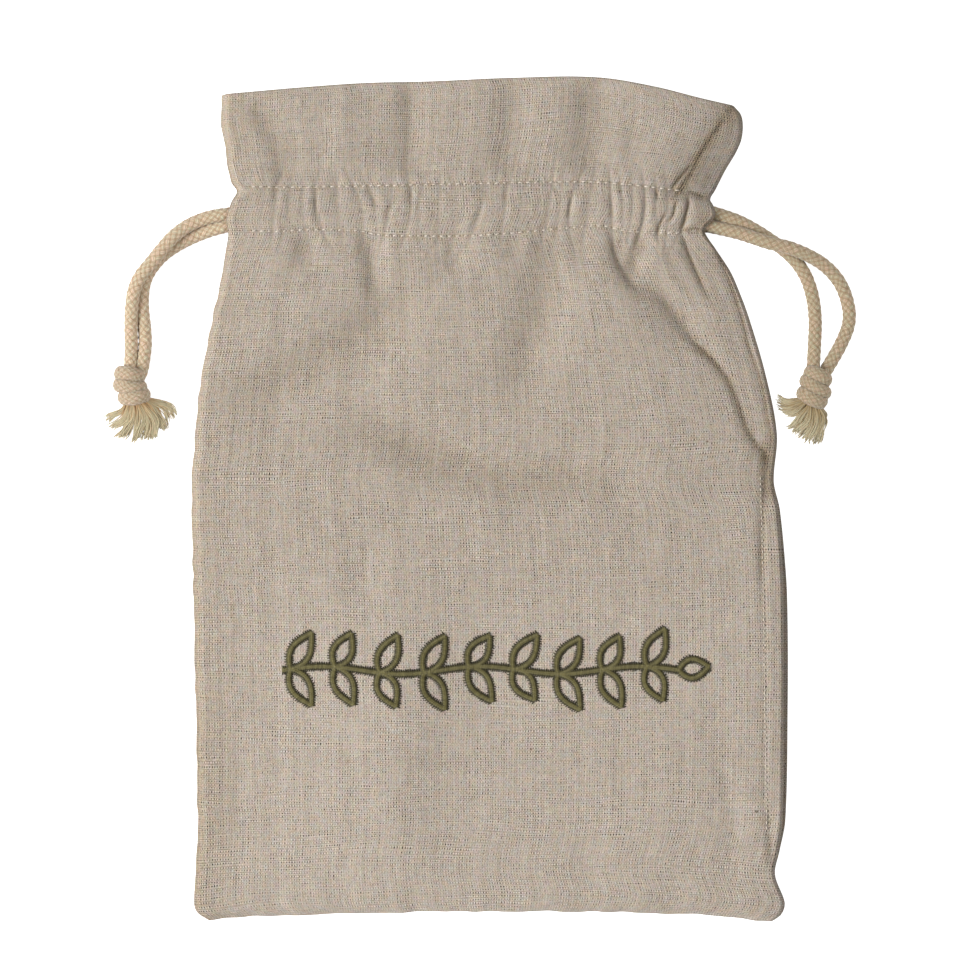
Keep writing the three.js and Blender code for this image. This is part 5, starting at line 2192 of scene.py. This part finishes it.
@dataclass
class Studio:
    """The white table, the soft light and the camera straight above."""

    finish: TableFinish = TableFinish()
    lens: float = 200.0
    sensor: float = 36.0
    view_width: float = 465.5
    view_middle: float = 4.5
    cloth_height: float = 6.0
    room_light: float = 0.32
    table_half: float = 4000.0
    key_place: Spot = (-3.9, -0.55, 3.08)
    key_size: float = 2.6
    key_power: float = 275.0
    fill_place: Spot = (3.6, 0.4, 3.4)
    fill_size: float = 3.0
    fill_power: float = 125.0

    def build(self) -> None:
        """Make the table, the world, the lights and the camera."""
        self.add_table()
        self.add_world()
        self.add_light("key_light", self.key_place, self.key_size, self.key_power)
        self.add_camera()

    def fill(self, pieces: Iterable[Piece]) -> None:
        """Add a soft lamp on the other side that lights the pale cotton pieces alone.

        Args:
            pieces: The cords, the knots and the tassels.
        """
        lamp = self.add_light("fill_light", self.fill_place, self.fill_size, self.fill_power)
        lit = bpy.data.collections.new("fill_lit_pieces")
        for piece in pieces:
            lit.objects.link(piece)
        lamp.light_linking.receiver_collection = lit

    def add_table(self) -> None:
        """Make the glowing table top that the camera sees, and under it the one that reflects the light."""
        table = self.table_top("studio_table", self.finish, 0.3)
        table.visible_diffuse = False
        table.visible_shadow = False
        reflector = self.table_top("studio_reflector", TableFinish("matt_table", 0.0), 0.6)
        reflector.visible_camera = False

    def table_top(self, name: str, finish: TableFinish, drop: float) -> Piece:
        """Make one wide flat top.

        Args:
            name: Its name.
            finish: Its finish.
            drop: How far it lies under the sack, in millimetres.

        Returns:
            The object.
        """
        shell = Shell()
        half = self.table_half
        square = [[-half, -half, -drop], [half, -half, -drop], [half, half, -drop], [-half, half, -drop]]
        shell.add(np.array(square), [(0, 1, 2, 3)])
        made = shell.build(name, finish.make(), False)
        return made

    def add_world(self) -> None:
        """Make the even light of the room."""
        world = bpy.data.worlds.new("studio_room")
        world.use_nodes = True
        light = world.node_tree.nodes["Background"].inputs
        light["Color"].default_value = (1.0, 1.0, 1.0, 1.0)
        light["Strength"].default_value = self.room_light
        bpy.context.scene.world = world
        bpy.context.scene.view_settings.view_transform = "Standard"

    def add_light(self, name: str, place: Spot, size: float, power: float) -> Piece:
        """Add a square lamp that looks at the middle of the sack.

        Args:
            name: Name of the lamp.
            place: Where it stands, in metres.
            size: Length of its sides.
            power: Its power in watts.

        Returns:
            The lamp.
        """
        lamp = bpy.data.lights.new(name, "AREA")
        lamp.size = size
        lamp.energy = power
        made = bpy.data.objects.new(name, lamp)
        made.location = place
        away = np.array(place) / np.linalg.norm(place)
        made.rotation_euler = (math.acos(away[2]), 0.0, math.atan2(away[1], away[0]) + math.pi / 2)
        bpy.context.scene.collection.objects.link(made)
        return made

    def add_camera(self) -> None:
        """Add the camera, straight above the sack."""
        camera = bpy.data.cameras.new("camera")
        camera.lens = self.lens
        camera.sensor_width = self.sensor
        camera.clip_start = 0.01
        made = bpy.data.objects.new("camera", camera)
        distance = self.view_width * self.lens / self.sensor
        made.location = (0.0, self.view_middle * MM, (distance + self.cloth_height) * MM)
        bpy.context.scene.collection.objects.link(made)
        bpy.context.scene.camera = made


def settle(piece: Piece, slot: Slot, *nodes: str) -> Piece:
    """Say what a piece rides on and which CAD nodes it stands for, and hide those nodes.

    Args:
        piece: The piece.
        slot: Not used.
        nodes: The CAD nodes that it replaces.

    Returns:
        The piece.
    """
    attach(piece, "root")
    if nodes:
        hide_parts(*nodes)
    triangles = sum(len(face.vertices) - 2 for face in piece.data.polygons)
    LOG.info("%s: %d triangles, stands for %s", piece.name, triangles, ", ".join(nodes) or "no node")
    return piece


def knots() -> tuple[list[CordKnot], list[FrayedTassel]]:
    """Lay out the two knots and their tassels.

    Returns:
        The knots, left and right, and the tassels.
    """
    left = CordKnot(Side.LEFT, -170.2, 54.0, 4.0, (
        Turn(5.0, -15.0, 4.5, -0.5, 0.7), Turn(-0.2, -13.0, 5.2, -0.7, -0.6), Turn(-5.0, 3.0, 5.0, 0.9, -0.9),
    ))
    right = CordKnot(Side.RIGHT, 154.2, 53.4, -22.0, (
        Turn(5.2, -6.0, 4.3, -0.6, 0.6), Turn(0.2, -14.0, 5.4, 0.2, -0.5), Turn(-5.0, -4.0, 5.0, 0.6, -0.8),
    ))
    tassels = [
        FrayedTassel(left, ((-1.6, -6.0), (5.2, -6.0)), (
            Lock((-12.7, -15.8), 2.6, 0.8), Lock((-9.4, -20.6), 4.2, 1.4), Lock((-6.4, -24.6), 4.4, 0.7),
            Lock((-4.0, -24.4), 3.0, 1.6), Lock((-0.3, -26.8), 3.4, 0.8), Lock((3.4, -24.3), 4.0, 1.7),
            Lock((7.3, -25.3), 4.4, 0.8), Lock((11.1, -24.4), 4.6, 1.6), Lock((15.4, -21.2), 4.2, 0.7),
            Lock((18.0, -16.4), 2.2, 0.4), Lock((20.8, -13.8), 3.4, 1.2),
        ), 31),
        FrayedTassel(right, ((-4.2, -5.6), (1.8, -7.6)), (
            Lock((-17.6, -5.0), 4.0, 1.2), Lock((-17.2, -9.3), 3.8, 0.6), Lock((-15.0, -12.6), 3.6, 1.4),
            Lock((-12.2, -19.6), 4.2, 0.7), Lock((-8.8, -22.6), 4.4, 1.5), Lock((-5.5, -24.5), 4.0, 0.7),
            Lock((-1.9, -26.8), 4.0, 1.5), Lock((1.0, -26.8), 3.4, 0.7), Lock((3.2, -23.0), 3.0, 1.4),
            Lock((4.2, -18.5), 2.4, 0.6),
        ), 38, 0.3),
    ]
    return [left, right], tassels


def main() -> None:
    """Build every sub-assembly in order."""
    logging.basicConfig(level=logging.INFO, format="%(name)s: %(message)s")
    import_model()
    studio = Studio()
    studio.build()
    # The left cords take a lighter copy of the cotton: painted light on the side of the key lamp
    cotton = {
        Side.LEFT: CottonFinish(
            "painted_lit_cotton_cord", linear(196, 179, 156), linear(148, 112, 72), linear(201, 193, 172),
            linear(209, 171, 148), linear(187, 180, 147), fibre=0.9, bright=1.08),
        Side.RIGHT: CottonFinish(fibre=0.9),
    }
    # The knots take a darker copy of each side's cotton: painted shade
    tied = {
        side: replace(finish, name="tied_" + finish.name, bright=0.93).make()
        for side, finish in cotton.items()
    }
    loose = {
        Side.LEFT: CottonFinish(
            "loose_cotton", linear(200, 181, 145), linear(182, 132, 76), linear(198, 191, 158),
            deep_share=0.8, deep_to=1.0, fibre=0.5, softness=0.0, yarn_dark=0.0).make(),
        Side.RIGHT: CottonFinish(
            "shaded_loose_cotton", linear(184, 170, 140), linear(148, 124, 84), linear(184, 177, 150),
            deep_share=0.85, deep_to=1.0, fibre=0.5, softness=0.0, yarn_dark=0.0).make(),
    }
    drawcords = Drawcords()
    cords = drawcords.build({side: finish.make() for side, finish in cotton.items()})
    ends: dict[Side, list[Piece]] = {}
    for knot, tassel in zip(*knots()):
        ends[knot.side] = [knot.build(tied[knot.side]), tassel.build(loose[knot.side])]
    drawcords.declare(cords)
    studio.fill([*cords.values(), *ends[Side.LEFT], *ends[Side.RIGHT]])
    shape = SackShape()
    cloths = SackCloth(shape).build()
    sewing = [CasingStitches(shape).build(), SeamStitches(shape).build()]
    garland = LeafGarland(shape).build()


if __name__ == "__main__":
    main()
